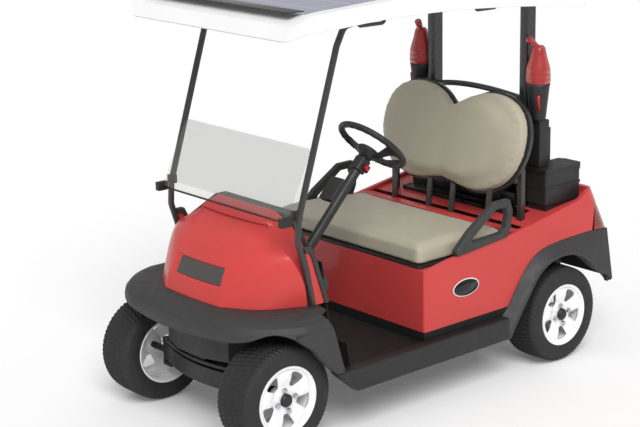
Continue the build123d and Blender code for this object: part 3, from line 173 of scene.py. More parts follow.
def finish(name, colour, rough, drift=0.12, grain=900.0, depth=0.00004, cells=False, spread=0.08):
    """A base finish. drift is how far the colour wanders, grain the bump's scale a metre."""
    material, tree, output = empty_material(name)
    shader = tree.nodes.new("ShaderNodeBsdfPrincipled")
    tree.links.new(shader.outputs[0], output.inputs["Surface"])
    wander = add_noise(tree, 5.0, 4.0)
    tones = tree.nodes.new("ShaderNodeValToRGB")
    tones.color_ramp.elements[0].position = 0.3
    tones.color_ramp.elements[1].position = 0.7
    tones.color_ramp.elements[0].color = [c * (1 - drift) for c in colour[:3]] + [1]
    tones.color_ramp.elements[1].color = [min(1, c * (1 + drift)) for c in colour[:3]] + [1]
    tree.links.new(wander.outputs[0], tones.inputs[0])
    tree.links.new(tones.outputs[0], shader.inputs["Base Color"])
    worn = add_noise(tree, 22.0, 5.0)
    spans = tree.nodes.new("ShaderNodeMapRange")
    spans.inputs["From Min"].default_value = 0.3
    spans.inputs["From Max"].default_value = 0.7
    spans.inputs["To Min"].default_value = max(0.02, rough - spread)
    spans.inputs["To Max"].default_value = min(1, rough + spread)
    tree.links.new(worn.outputs[0], spans.inputs["Value"])
    tree.links.new(spans.outputs[0], shader.inputs["Roughness"])
    kind = "ShaderNodeTexVoronoi" if cells else "ShaderNodeTexNoise"
    pits = add_noise(tree, grain, 2.0, kind)
    bump = tree.nodes.new("ShaderNodeBump")
    bump.inputs["Distance"].default_value = depth
    bump.inputs["Strength"].default_value = 1.0
    tree.links.new(pits.outputs[0], bump.inputs["Height"])
    tree.links.new(bump.outputs[0], shader.inputs["Normal"])
    return material, shader, bump


def soften_edges(material, shader, bump, radius):
    """Rounds the shading of sharp CAD edges over a few millimetres."""
    tree = material.node_tree
    edge = tree.nodes.new("ShaderNodeBevel")
    edge.samples = 4
    edge.inputs["Radius"].default_value = radius
    tree.links.new(edge.outputs[0], bump.inputs["Normal"])


# %% Paint, plastic and metal
def body_paint(name, rounded):
    """The body's red paint, with or without rounded shading on its edges."""
    material, shader, bump = finish(name, linear(206, 70, 68), 0.3, 0.03, 90.0, 0.00001, spread=0.02)
    shader.inputs["Specular IOR Level"].default_value = 0.2
    shader.inputs["Coat Weight"].default_value = 0.2
    shader.inputs["Coat Roughness"].default_value = 0.05
    if rounded:
        soften_edges(material, shader, bump, 0.004)
    return material


body_red = body_paint("body_red", True)
panel_red = body_paint("panel_red", False)
trim_grey, shader, bump = finish("trim_grey", linear(55, 55, 55), 0.6, 0.08, 1100.0, 0.0001)
soften_edges(trim_grey, shader, bump, 0.005)
black_plastic, shader, bump = finish("black_plastic", linear(36, 36, 36), 0.5, 0.1, 1300.0, 0.00008)
soften_edges(black_plastic, shader, bump, 0.003)
floor_rubber, shader, bump = finish("floor_rubber", linear(12, 8, 8), 0.7, 0.12, 500.0, 0.0003, True)
frame_metal, shader, bump = finish("frame_metal", linear(34, 34, 34), 0.5, 0.12, 500.0, 0.00015)
soften_edges(frame_metal, shader, bump, 0.003)
post_metal, shader, bump = finish("post_metal", linear(48, 48, 49), 0.34, 0.06, 900.0, 0.00005)
shader.inputs["Coat Weight"].default_value = 0.3
soften_edges(post_metal, shader, bump, 0.004)
spring_steel, shader, bump = finish("spring_steel", linear(60, 58, 56), 0.4, 0.2, 300.0, 0.0002)
shader.inputs["Metallic"].default_value = 0.7
rim_silver, shader, bump = finish("rim_silver", linear(252, 252, 254), 0.3, 0.03, 700.0, 0.00003)
shader.inputs["Metallic"].default_value = 0.1
shader.inputs["Coat Weight"].default_value = 0.4
soften_edges(rim_silver, shader, bump, 0.004)
bright_steel, shader, bump = finish("bright_steel", linear(200, 200, 204), 0.22, 0.05, 700.0, 0.00003)
shader.inputs["Metallic"].default_value = 1.0
roof_white, shader, bump = finish("roof_white", linear(253, 253, 253), 0.4, 0.015, 700.0, 0.00004)
soften_edges(roof_white, shader, bump, 0.006)
tyre_rubber, shader, bump = finish("tyre_rubber", linear(40, 40, 40), 0.72, 0.18, 700.0, 0.0002)
lamp_red, shader, bump = finish("lamp_red", linear(132, 8, 6), 0.12, 0.05, 300.0, 0.00002)
shader.inputs["Coat Weight"].default_value = 0.8
bottle_red, shader, bump = finish("bottle_red", linear(176, 52, 50), 0.3, 0.05, 400.0, 0.00004)
shader.inputs["Transmission Weight"].default_value = 0.12
signal_red, shader, bump = finish("signal_red", linear(190, 20, 24), 0.35, 0.05, 700.0, 0.00003)
badge_black, shader, bump = finish("badge_black", linear(14, 14, 14), 0.18, 0.05, 700.0, 0.00002)
badge_white, shader, bump = finish("badge_white", linear(232, 232, 232), 0.3, 0.02, 700.0, 0.00002)
plate_grey, shader, bump = finish("plate_grey", linear(74, 71, 70), 0.42, 0.05, 900.0, 0.00005)
print("hard finishes", len(bpy.data.materials))

# %% Vinyl
seat_vinyl, shader, bump = finish(
    "seat_vinyl", linear(178, 172, 152), 0.5, 0.035, 420.0, 0.00022, True, 0.06
)
shader.inputs["Sheen Weight"].default_value = 0.15
shader.inputs["Sheen Roughness"].default_value = 0.4

# %% [markdown]
# The windscreen is smoked clear plastic. Each face of a pane veils what is behind it a
# little, so the four faces of the two folded panes add up to a grey haze.

# %% Clear pane
windscreen_glass, shader, bump = finish("windscreen_pane", linear(150, 150, 144), 0.12, 0.05, 9.0, 0.0002)
shader.inputs["Alpha"].default_value = 0.13
shader.inputs["Specular IOR Level"].default_value = 0.3

# %% [markdown]
# The solar panel is a sheet of blue-grey cells under a clear skin. Thin pale lines run
# across it every few centimetres and wider ones part the cells. They come from the
# distance to the nearest line in the piece's own metres.

# %% Solar cells
solar_cells, shader, bump = finish("solar_cells", linear(132, 138, 176), 0.25, 0.04, 300.0, 0.00002)
shader.inputs["Coat Weight"].default_value = 1.0
shader.inputs["Coat Roughness"].default_value = 0.04
tree = solar_cells.node_tree
place = tree.nodes.new("ShaderNodeTexCoord")
split = tree.nodes.new("ShaderNodeSeparateXYZ")
tree.links.new(place.outputs["Object"], split.inputs[0])


def line_mask(tree, value, pitch, width):
    """1 on lines of a width at every pitch along one coordinate, 0 between them."""
    fold = tree.nodes.new("ShaderNodeMath")
    fold.operation = "PINGPONG"
    fold.inputs[1].default_value = pitch / 2
    tree.links.new(value, fold.inputs[0])
    near = tree.nodes.new("ShaderNodeMath")
    near.operation = "LESS_THAN"
    near.inputs[1].default_value = width / 2
    tree.links.new(fold.outputs[0], near.inputs[0])
    return near.outputs[0]


masks = [
    line_mask(tree, split.outputs["X"], 0.0315, 0.0022),
    line_mask(tree, split.outputs["X"], 0.126, 0.005),
    line_mask(tree, split.outputs["Y"], 0.156, 0.006),
]
joined = masks[0]
for mask in masks[1:]:
    larger = tree.nodes.new("ShaderNodeMath")
    larger.operation = "MAXIMUM"
    tree.links.new(joined, larger.inputs[0])
    tree.links.new(mask, larger.inputs[1])
    joined = larger.outputs[0]
paint = tree.nodes.new("ShaderNodeMix")
paint.data_type = "RGBA"
base = shader.inputs["Base Color"].links[0].from_socket
tree.links.new(joined, paint.inputs["Factor"])
tree.links.new(base, paint.inputs[6])
paint.inputs[7].default_value = linear(205, 207, 224)
tree.links.new(paint.outputs[2], shader.inputs["Base Color"])
print("solar lines", len(masks))

# %% [markdown]
# ## Dressing the CAD pieces
# The record names a material slot for every node. One table turns slots into finishes,
# with a few nodes taken out by name.

# %% Hand out the finishes
slot_finish = {
    "body_red": body_red,
    "trim_grey": trim_grey,
    "black_plastic": black_plastic,
    "frame_metal": frame_metal,
    "spring_steel": spring_steel,
    "post_metal": post_metal,
    "tyre": tyre_rubber,
    "rim": rim_silver,
    "seat_vinyl": seat_vinyl,
    "roof_white": roof_white,
    "solar": solar_cells,
    "windscreen": windscreen_glass,
    "lamp_red": lamp_red,
    "bottle": bottle_red,
}
node_finish = {
    "floor_pan": floor_rubber,
    "seat_pod": panel_red,
    "rear_body": panel_red,
    "cooler_lid": frame_metal,
    # The rocker panels take the darker frame finish as painted shade, for the shade they sit in under the
    # body's side.
    "rocker_panels": frame_metal,
}
node_slot = {row["node"]: row["material_slot"] for row in frame["record"]["subparts"]}


def node_object(name):
    """The Blender object of one CAD node."""
    return frame["nodes"][name]


for name, slot_name in node_slot.items():
    mesh = node_object(name).data
    mesh.materials.clear()
    mesh.materials.append(node_finish.get(name, slot_finish[slot_name]))
print("dressed", len(node_slot), "nodes")

# %% [markdown]
# ## Surfaces from grids
# New pieces are grids of points. A shape is worked out for whole arrays at once, and one
# helper turns the grid into a mesh, joins it round where it closes, and hangs it on its body.

# %% Grid to mesh
def grid_faces(rows, columns, wrap_rows, wrap_columns, flip=False):
    """Corner numbers of every cell in a grid, going round where it wraps."""
    i = np.arange(rows if wrap_rows else rows - 1)
    j = np.arange(columns if wrap_columns else columns - 1)
    i, j = np.meshgrid(i, j, indexing="ij")
    i, j = i.ravel(), j.ravel()
    i2, j2 = (i + 1) % rows, (j + 1) % columns
    faces = np.stack([i * columns + j, i2 * columns + j, i2 * columns + j2, i * columns + j2], 1)
    return faces[:, ::-1] if flip else faces


def merge_points(mesh, distance):
    """Joins the points of neighbouring grids that lie in one place."""
    work = bmesh.new()
    work.from_mesh(mesh)
    bmesh.ops.remove_doubles(work, verts=work.verts, dist=distance)
    work.to_mesh(mesh)
    work.free()


def make_piece(name, parts, material, body, stands_for=(), smooth=True, merge=False):
    """One object from several (points, faces) parts, riding on a body."""
    points, faces, start = [], [], 0
    for part_points, part_faces in parts:
        flat = np.asarray(part_points, float).reshape(-1, 3)
        points.append(flat)
        faces.extend((np.asarray(part_faces) + start).tolist())
        start += len(flat)
    mesh = bpy.data.meshes.new(name)
    mesh.from_pydata(np.vstack(points).tolist(), [], faces)
    mesh.materials.append(material)
    if merge:
        merge_points(mesh, 0.00005)
    mesh.polygons.foreach_set("use_smooth", np.full(len(mesh.polygons), smooth))
    obj = bpy.data.objects.new(name, mesh)
    bpy.context.scene.collection.objects.link(obj)
    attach(obj, body)
    if stands_for:
        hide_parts(*stands_for)
    print(name, len(mesh.polygons), "faces")
    return obj


def smooth_path(points, count):
    """A smooth curve that goes through every point, resampled to count places."""
    p = np.asarray(points, float)
    p = np.vstack([2 * p[0] - p[1], p, 2 * p[-1] - p[-2]])
    t = np.linspace(0, len(p) - 3 - 1e-9, count)
    k = t.astype(int)
    u = (t - k)[:, None]
    a, b, c, d = p[k], p[k + 1], p[k + 2], p[k + 3]
    return 0.5 * (2 * b + (c - a) * u + (2 * a - 5 * b + 4 * c - d) * u**2 + (3 * b - a - 3 * c + d) * u**3)


# %% [markdown]
# ## Tyres
# A golf cart tyre is low and round-shouldered. Its tread is five ribs, cut across by short
# bars that are staggered from rib to rib and grow shallow on the shoulders. The section is
# one closed profile turned about the axle, and the grooves are pressed in by a function of
# the angle round the wheel and of the place across the tread.

# %% Tyre surface
tyre_half, tyre_radius, bead_radius = 0.103, 0.235, 0.146
side_profile = [
    # distance from the middle plane, radius
    (0.084, bead_radius),
    (0.0925, 0.150),
    (0.0990, 0.160),
    (0.1025, 0.178),
    (0.1022, 0.196),
    (0.0985, 0.213),
    (0.0905, 0.2265),
    (0.0760, 0.2330),
    (0.0500, 0.2347),
    (0.0250, 0.2350),
    (0.0000, 0.2350),
]
rib_count, block_count, steps_per_block = 5, 66, 9
profile_points = 80
middle_cut, shoulder_ease = 0.0052, 0.0026
ring_line_depth, ring_line_radius = 0.0012, 0.168


def ramp(value, low, high):
    """0 below low, 1 above high, and a smooth step between them."""
    t = np.clip((value - low) / (high - low), 0, 1)
    return t * t * (3 - 2 * t)


def groove(phase, width):
    """1 in the middle of a groove at whole numbers of phase, falling to 0 at its edge."""
    away = np.abs((phase + 0.5) % 1 - 0.5)
    return 1 - ramp(away, width * 0.35, width * 0.65)


def tyre_grid(centre, side):
    """Radius and width follow the profile; the tread's grooves are taken off along its normal."""
    half = np.array(side_profile)
    mirrored = half[:-1] * [-1, 1]
    profile = smooth_path(np.vstack([half, mirrored[::-1]]), profile_points)
    across, radius = profile[:, 0], profile[:, 1]
    slope = np.gradient(profile, axis=0)
    normal = np.stack([-slope[:, 1], slope[:, 0]], 1)
    normal /= np.linalg.norm(normal, axis=1)[:, None] + 1e-12
    normal *= np.where(normal[:, 1:] * (radius[:, None] > 0.2) < 0, -1, 1)
    turns = np.linspace(0, 1, block_count * steps_per_block, endpoint=False)
    angle = turns[:, None] * 2 * np.pi
    s = across[None, :] / tyre_half
    high = ramp(radius, 0.219, 0.2265)[None, :]
    phase = turns[:, None] * block_count
    rib = s * rib_count / 2
    stagger = 0.5 * (np.floor(rib + 0.5) % 2)
    lean = 0.25 * np.sin(2 * np.pi * rib)
    bar_cut = groove(phase + stagger + lean, 0.5) * high
    wave = 0.05 * np.sin(phase * 2 * np.pi)
    ring_cut = groove(rib + 0.5 + wave, 0.16) * high * (np.abs(s) < 0.8)
    cut = np.maximum(bar_cut, ring_cut) * (middle_cut - shoulder_ease * ramp(np.abs(s), 0.6, 0.95))
    low_part = radius < 0.19
    ring_line = ring_line_depth * (groove((radius - ring_line_radius) / 0.03, 0.12) * low_part)[None, :]
    r = radius[None, :] - np.abs(normal[:, 1])[None, :] * cut
    a = across[None, :] - np.sign(s) * np.abs(normal[:, 0])[None, :] * (cut + ring_line)
    r, a = np.broadcast_arrays(r, a)
    x = centre[0] + side * a
    y = centre[1] + r * np.cos(angle)
    z = centre[2] + r * np.sin(angle)
    return np.stack([x, y, z], 2)


wheels = [
    # corner, side, axle y, half track
    ("front_left", 1, -0.923, 0.432),
    ("front_right", -1, -0.923, 0.432),
    ("rear_left", 1, 0.740, 0.492),
    ("rear_right", -1, 0.740, 0.492),
]
for corner, side, axle_y, track in wheels:
    points = tyre_grid((side * track, axle_y, tyre_radius), side)
    faces = grid_faces(*points.shape[:2], True, True, flip=side < 0)
    make_piece(
        "tyre_tread_" + corner,
        [(points, faces)],
        tyre_rubber,
        "wheel_" + corner,
        ["tyre_" + corner],
    )

# %% [markdown]
# ## Rims
# Each rim is a barrel with a rolled lip and a dished face cut by five big rounded windows.
# One fifth of the face is a grid that runs from the window's edge out to the sector's
# border, over the front, through the window wall and back along the rear side.

# %% Rim face
window_phase = math.radians(57)
window_count = 5
rim_middle, rim_outer = 0.026, 0.134
face_depths = [(0.026, 0.024), (0.068, 0.022), (0.092, 0.014), (0.118, 0.011), (0.134, 0.015)]
disc_wall = 0.016
sector_half = math.pi / window_count
window_roll = 0.0055


def loop_of(corners, each):
    """A closed run of points, a few on each straight side between the corners."""
    corners = np.asarray(corners, float)
    following = np.roll(corners, -1, axis=0)
    t = np.linspace(0, 1, each, endpoint=False)[None, :, None]
    return (corners[:, None] * (1 - t) + following[:, None] * t).reshape(-1, 2)


def rounded(loop, passes):
    """The same loop with its corners worn round by averaging neighbours."""
    for _ in range(passes):
        loop = (np.roll(loop, 1, axis=0) + 2 * loop + np.roll(loop, -1, axis=0)) / 4
    return loop


def rim_face(centre, side):
    """Five sectors as grids of (angle, radius) between the window and the border."""
    window = [(-0.20, 0.064), (-0.335, 0.1265), (0.335, 0.1265), (0.20, 0.064)]
    border = [(-sector_half, rim_middle), (-sector_half, rim_outer)]
    border += [(sector_half, rim_outer), (sector_half, rim_middle)]
    window, border = rounded(loop_of(window, 18), 22), loop_of(border, 18)
    front = np.array([0.0, 0.03, 0.08, 0.16, 0.3, 0.5, 0.75, 1.0])
    t = np.concatenate([front[::-1], front])
    behind = np.concatenate([np.zeros(len(front)), np.full(len(front), disc_wall)])
    spot = window[None] * (1 - t[:, None, None]) + border[None] * t[:, None, None]
    radius = spot[:, :, 1]
    depth = np.interp(radius, *np.array(face_depths).T)
    roll = window_roll * (1 - ramp(t, 0.0, 0.28))[:, None] * (behind[:, None] == 0)
    depth = depth + behind[:, None] + roll
    sectors = []
    for k in range(window_count):
        angle = window_phase + k * 2 * sector_half + spot[:, :, 0]
        x = centre[0] + side * (tyre_half - depth)
        y = centre[1] + radius * np.cos(angle)
        z = centre[2] + radius * np.sin(angle)
        faces = grid_faces(len(t), spot.shape[1], False, True, flip=side > 0)
        sectors.append((np.stack([x, y, z], 2), faces))
    return sectors


barrel_profile = [
    # depth from the tyre's outer plane, radius
    (0.016, 0.1335), (0.009, 0.138), (0.005, 0.144), (0.0035, 0.149), (0.005, 0.1515), (0.009, 0.1515),
    (0.012, 0.147), (0.020, 0.141), (0.034, 0.137), (0.100, 0.134), (0.172, 0.137), (0.186, 0.142),
    (0.194, 0.148), (0.198, 0.1515), (0.202, 0.1505), (0.2, 0.144), (0.19, 0.136), (0.17, 0.132),
    (0.1, 0.129), (0.03, 0.131),
]
hub_profile = [(0.026, 0.0), (0.026, 0.030), (0.040, 0.034), (0.044, 0.046), (0.084, 0.046), (0.084, 0.0)]

# %% [markdown]
# ## Wheel fittings
# Each wheel is held by four nuts round a dark centre cap. A nut is a small turned
# profile; the cap steps in towards its flat top.

# %% Turned pieces
def turned(profile, centre, axis, count, start=0.0, closed=False):
    """A profile of (distance along the axis, radius) turned round that axis."""
    profile = np.asarray(profile, float)
    axis = np.asarray(axis, float) / np.linalg.norm(axis)
    helper = np.array([0.0, 0.0, 1.0]) if abs(axis[2]) < 0.9 else np.array([0.0, 1.0, 0.0])
    u = np.cross(helper, axis)
    u /= np.linalg.norm(u)
    v = np.cross(axis, u)
    angle = start + np.linspace(0, 2 * np.pi, count, endpoint=False)
    ring = np.cos(angle)[:, None] * u + np.sin(angle)[:, None] * v
    points = centre + profile[None, :, :1] * axis + profile[None, :, 1:] * ring[:, None, :]
    return points, grid_faces(count, len(profile), True, closed, flip=True)


nut_profile = [(0, 0.0125), (0.014, 0.0125), (0.0175, 0.0095), (0.0185, 0.0)]
cap_profile = [
    (0, 0.0285), (0.010, 0.0285), (0.012, 0.0255), (0.016, 0.0245), (0.018, 0.020), (0.0185, 0.0)
]
nut_circle, nut_count, first_nut = 0.048, 4, 102
nut_seat = 0.0245
for corner, side, axle_y, track in wheels:
    body = "wheel_" + corner
    middle = (side * track, axle_y, tyre_radius)
    outer = (side * (track + tyre_half), axle_y, tyre_radius)
    axis = (side, 0, 0)
    rim = rim_face(middle, side)
    barrel = [(-depth, radius) for depth, radius in barrel_profile]
    hub = [(-depth, radius) for depth, radius in hub_profile[::-1]]
    rim.append(turned(barrel, outer, axis, 96, closed=True))
    rim.append(turned(hub, outer, axis, 48))
    make_piece("rim_" + corner + "_face", rim, rim_silver, body, ["rim_" + corner], merge=True)
    face_x = side * (track + tyre_half - nut_seat)
    nuts = []
    for k in range(nut_count):
        angle = math.radians(first_nut + 360 / nut_count * k)
        nut_y = axle_y + nut_circle * math.cos(angle)
        centre = (face_x, nut_y, tyre_radius + nut_circle * math.sin(angle))
        nuts.append(turned(nut_profile, centre, axis, 6, 0.3))
    make_piece("lug_nuts_" + corner, nuts, bright_steel, body, smooth=False)
    cap = turned(cap_profile, (face_x, axle_y, tyre_radius), axis, 40)
    make_piece("centre_cap_" + corner, [cap], black_plastic, body)

# %% [markdown]
# ## Steering wheel
# A thick padded grip, a wide hub pad that sits below it, and two broad spokes towards the
# driver. Each spoke is a fan with an oval hole, drawn flat and then bent up to the grip.

# %% Wheel in its own plane
wheel_centre = np.array([0.268, -0.205, 1.175])
lean_angle = math.radians(46.5)
wheel_axis = np.array([0.0, math.cos(lean_angle), math.sin(lean_angle)])
wheel_ahead = np.array([0.0, -math.sin(lean_angle), math.cos(lean_angle)])
grip_radius, grip_thick, hub_sink = 0.157, 0.0152, 0.050
hole_way, hole_turn, hole_long, hole_short = 0.105, math.radians(-37), 0.036, 0.031
hole_lean, spoke_half = math.radians(60), 0.0065


def on_wheel(right, ahead, lift):
    """Places in the wheel's plane, lifted along the column's axis."""
    side_part = np.stack([right, np.zeros_like(right), np.zeros_like(right)], -1)
    return wheel_centre + side_part + ahead[..., None] * wheel_ahead + lift[..., None] * wheel_axis


def grip_grid():
    """A ring whose section is flattened a little, with finger swells round the back."""
    turn = np.linspace(0, 2 * np.pi, 120, endpoint=False)[:, None]
    section = np.linspace(0, 2 * np.pi, 20, endpoint=False)[None, :]
    thick = grip_thick * (1 + 0.05 * np.cos(turn * 24) * np.clip(-np.sin(section), 0, 1))
    out = grip_radius + thick * np.cos(section)
    return on_wheel(out * np.cos(turn), out * np.sin(turn), 0.95 * thick * np.sin(section))


def spoke_grid(hand):
    """A fan between two loops, its hole and its outline, as a closed slab. hand is 1 or -1."""
    # radius, degrees ahead of straight sideways
    fan = [(0.030, 20), (0.075, 8), (0.120, 12), (0.152, 10), (0.154, -15), (0.154, -45), (0.152, -78)]
    fan += [(0.105, -76), (0.070, -82), (0.040, -95), (0.024, -50), (0.024, -10)]
    fan = np.array([(r * math.cos(math.radians(a)), r * math.sin(math.radians(a))) for r, a in fan])
    outline = rounded(loop_of(fan, 8), 10)
    middle = hole_way * np.array([math.cos(hole_turn), math.sin(hole_turn)])
    way = outline - middle
    aim = np.arctan2(way[:, 1], way[:, 0])
    along, across = np.cos(aim + hole_lean), np.sin(aim + hole_lean)
    reach = 1 / np.sqrt((along / hole_long) ** 2 + (across / hole_short) ** 2)
    hole = middle + np.stack([np.cos(aim), np.sin(aim)], 1) * reach[:, None]
    top = np.array([0.0, 0.06, 0.16, 0.35, 0.6, 0.82, 0.94, 1.0])
    t = np.concatenate([top, top[::-1]])
    upper = np.concatenate([np.ones(len(top)), -np.ones(len(top))])
    flat = hole[None] * (1 - t[:, None, None]) + outline[None] * t[:, None, None]
    distance = np.linalg.norm(flat, axis=2)
    bend = hub_sink * (ramp(distance, 0.045, 0.150) - 0.98) + 0.004
    edge = np.minimum(t, 1 - t)
    puff = upper * spoke_half * np.sqrt(np.clip(edge / 0.12, 0.05, 1))
    return on_wheel(hand * flat[:, :, 0], flat[:, :, 1], bend + puff[:, None])


hub_pad_profile = [(-0.078, 0.0), (-0.078, 0.026), (-0.060, 0.034), (-0.050, 0.050), (-0.040, 0.056)]
hub_pad_profile += [(-0.031, 0.055), (-0.025, 0.048), (-0.022, 0.030), (-0.021, 0.0)]
grip = grip_grid()
parts = [(grip, grid_faces(*grip.shape[:2], True, True))]
for hand in (1, -1):
    spoke = spoke_grid(hand)
    parts.append((spoke, grid_faces(*spoke.shape[:2], True, True, flip=hand > 0)))
parts.append(turned(hub_pad_profile, wheel_centre, wheel_axis, 48))
make_piece(
    "steering_wheel_grip", parts, black_plastic, "steering_wheel", ["steering_wheel"]
)

# %% [markdown]
# ## Nose shell
# The nose is one broad panel, rounded in plan and leaning back, between two side edges.
# A table gives its plan at five heights. Above the hood line a shelf runs back to the
# dash, and behind each side edge a cheek drops in towards the post.

# %% Nose panel
nose_table = [
    # height, nose x, nose y, shoulder x, shoulder y, edge x, edge y
    (0.5903, 0.198, -1.018, 0.352, -0.918, 0.450, -0.745),
    (0.700, 0.200, -0.985, 0.355, -0.900, 0.455, -0.764),
    (0.800, 0.204, -0.930, 0.325, -0.876, 0.408, -0.792),
    (0.860, 0.200, -0.868, 0.255, -0.840, 0.300, -0.805),
    (0.905, 0.190, -0.794, 0.210, -0.791, 0.228, -0.784),
]
post_back, dash_y, dash_z, dash_share = -0.697, -0.7075, 0.956, 0.87
plate_half, plate_low, plate_high = 0.168, 0.668, 0.746
plate_depth, seat_edge = 0.009, 0.003
panel_wall = 0.004


def outwards_normal(points):
    """Unit normals of a grid from its two sets of differences."""
    normal = np.cross(np.gradient(points, axis=0), np.gradient(points, axis=1))
    normal /= np.linalg.norm(normal, axis=2)[:, :, None] + 1e-12
    return normal * np.where(normal[:, :, 1:2] > 0, -1, 1)


def plan_curve(row, count):
    """One height's plan from the far edge to the near one, rounded at the nose corners."""
    nx, ny, sx, sy, ex, ey = row[1:]
    flank = smooth_path([(ex, ey), (sx, sy), (nx, ny)], 14)
    half = np.vstack([flank, [(nx * 0.5, ny - 0.007), (0.0, ny - 0.009)]])
    whole = np.vstack([half * [-1, 1], half[:-1][::-1]])
    steps = np.concatenate([[0], np.cumsum(np.linalg.norm(np.diff(whole, axis=0), axis=1))])
    spots = np.linspace(0, steps[-1], count)
    return np.stack([np.interp(spots, steps, whole[:, k]) for k in (0, 1)], 1)


def nose_panel(rows, columns):
    """The table's plans as a grid, worn round above its foot: plain, and with the plate's seat."""
    plans = np.stack([plan_curve(row, columns) for row in nose_table])
    heights = np.array([row[0] for row in nose_table])
    flat = np.concatenate([np.broadcast_to(heights[:, None, None], (*plans.shape[:2], 1)), plans], 2)
    grid = smooth_path(flat.reshape(len(heights), -1), rows).reshape(rows, columns, 3)
    height, x, y = grid[:, :, 0], grid[:, :, 1], grid[:, :, 2]
    worn_x, worn_y = x.copy(), y.copy()
    for _ in range(columns * 2):
        worn_x[:, 1:-1] = (worn_x[:, :-2] + 2 * worn_x[:, 1:-1] + worn_x[:, 2:]) / 4
        worn_y[:, 1:-1] = (worn_y[:, :-2] + 2 * worn_y[:, 1:-1] + worn_y[:, 2:]) / 4
    soft = ramp(height, 0.585, 0.70)
    x, y = x + (worn_x - x) * soft, y + (worn_y - y) * soft
    points = np.stack([x, y, height], 2)
    across = 1 - ramp(np.abs(x), plate_half - seat_edge, plate_half + seat_edge)
    above = ramp(height, plate_low - seat_edge, plate_low + seat_edge)
    below = 1 - ramp(height, plate_high - seat_edge, plate_high + seat_edge)
    seat = across * above * below
    return points, points - outwards_normal(points) * plate_depth * seat[:, :, None]


def ruled(first, second, count):
    """A grid of straight lines from one edge to another."""
    t = np.linspace(0, 1, count)[:, None, None]
    return first[None] * (1 - t) + second[None] * t


plain_nose, nose = nose_panel(110, 180)
top_edge = nose[-1]
groove_line = top_edge + np.array([0, 0.012, 0.001])
lip = top_edge + np.array([0, 0.003, 0.009])
level = np.ones(len(top_edge))
shelf_back = np.stack([top_edge[:, 0] * dash_share, level * dash_y, level * dash_z], 1)
shelf_top = ruled(lip, shelf_back, 24)[1:]
shelf_top[:, :, 2] += 0.004 * np.sin(np.linspace(0, np.pi, len(shelf_top)))[:, None]
shelf = np.concatenate([ruled(top_edge, groove_line, 3), ruled(groove_line, lip, 3)[1:], shelf_top])
parts = [
    (nose, grid_faces(*nose.shape[:2], False, False, flip=True)),
    (shelf, grid_faces(*shelf.shape[:2], False, False, flip=True)),
]
for hand, edge_line in ((-1, nose[:, 0]), (1, nose[:, -1])):
    step_in = edge_line + np.array([-hand * 0.024, 0.006, 0])
    back_x = hand * np.interp(step_in[:, 2], [0.59, 0.76, 0.86, 0.905], [0.452, 0.430, 0.352, 0.300])
    back = np.stack([back_x, np.full(len(step_in), post_back), step_in[:, 2]], 1)
    cheek = np.concatenate([ruled(edge_line, step_in, 3), ruled(step_in, back, 16)[1:]])
    parts.append((cheek, grid_faces(*cheek.shape[:2], False, False, flip=hand < 0)))
    shelf_rows = np.linspace(0, len(shelf) - 1, len(cheek)).astype(int)
    corner = np.stack([cheek[:, -1], shelf[shelf_rows, 0 if hand < 0 else -1]])
    parts.append((corner, grid_faces(2, len(cheek), False, False, flip=hand > 0)))
cowl = make_piece("nose_shell", parts, panel_red, "chassis", ["front_cowl"], merge=True)
wall = cowl.modifiers.new("wall", "SOLIDIFY")
wall.thickness = panel_wall
wall.offset = -1

# %% Blank nose plate
side_margin, far_margin, plate_sink, plate_thick = 0.004, 0.034, 0.004, 0.0042
nose_x, nose_z = plain_nose[:, :, 0], plain_nose[:, :, 2]
inside = (np.abs(nose_x) < plate_half - side_margin) & (nose_z > plate_low + seat_edge)
inside &= (nose_z < plate_high - seat_edge) & (nose_x > -plate_half + far_margin)
rows = np.flatnonzero(inside.any(axis=1))
columns = np.flatnonzero(inside.any(axis=0))
patch = plain_nose[rows[0] : rows[-1] + 1, columns[0] : columns[-1] + 1]
inwards = -outwards_normal(patch)
plate = make_piece(
    "nose_plate",
    [(patch + inwards * plate_sink, grid_faces(*patch.shape[:2], False, False, flip=True))],
    plate_grey,
    "chassis",
)
wall = plate.modifiers.new("wall", "SOLIDIFY")
wall.thickness = plate_thick
wall.offset = -1

# %% [markdown]
# ## Seat pads
# Both pads start from the CAD solid's own mesh, remeshed even and reshaped a little. Air
# pressure in a cloth simulation puffs them out, and each point's way is capped, so the
# faces crown, the edges round over and the pad still fits its place.

# %% Stuffed pads
def cad_points(name):
    """A merged copy of a CAD node's mesh."""
    mesh = node_object(name).data.copy()
    merge_points(mesh, 0.0001)
    return mesh


def read_points(mesh):
    """A mesh's points as one array."""
    flat = np.empty(len(mesh.vertices) * 3)
    mesh.vertices.foreach_get("co", flat)
    return flat.reshape(-1, 3)


def write_points(mesh, points):
    """Puts an array back as a mesh's points."""
    mesh.vertices.foreach_set("co", points.ravel())
    mesh.update()


def applied(obj):
    """The mesh that an object's modifiers make."""
    graph = bpy.context.evaluated_depsgraph_get()
    return bpy.data.meshes.new_from_object(obj.evaluated_get(graph))


def swap_mesh(obj, mesh):
    """Gives an object its finished mesh and takes its modifiers off."""
    obj.modifiers.clear()
    obj.data = mesh


voxel_size, air_pressure, swell_frames = 0.008, 4, 20


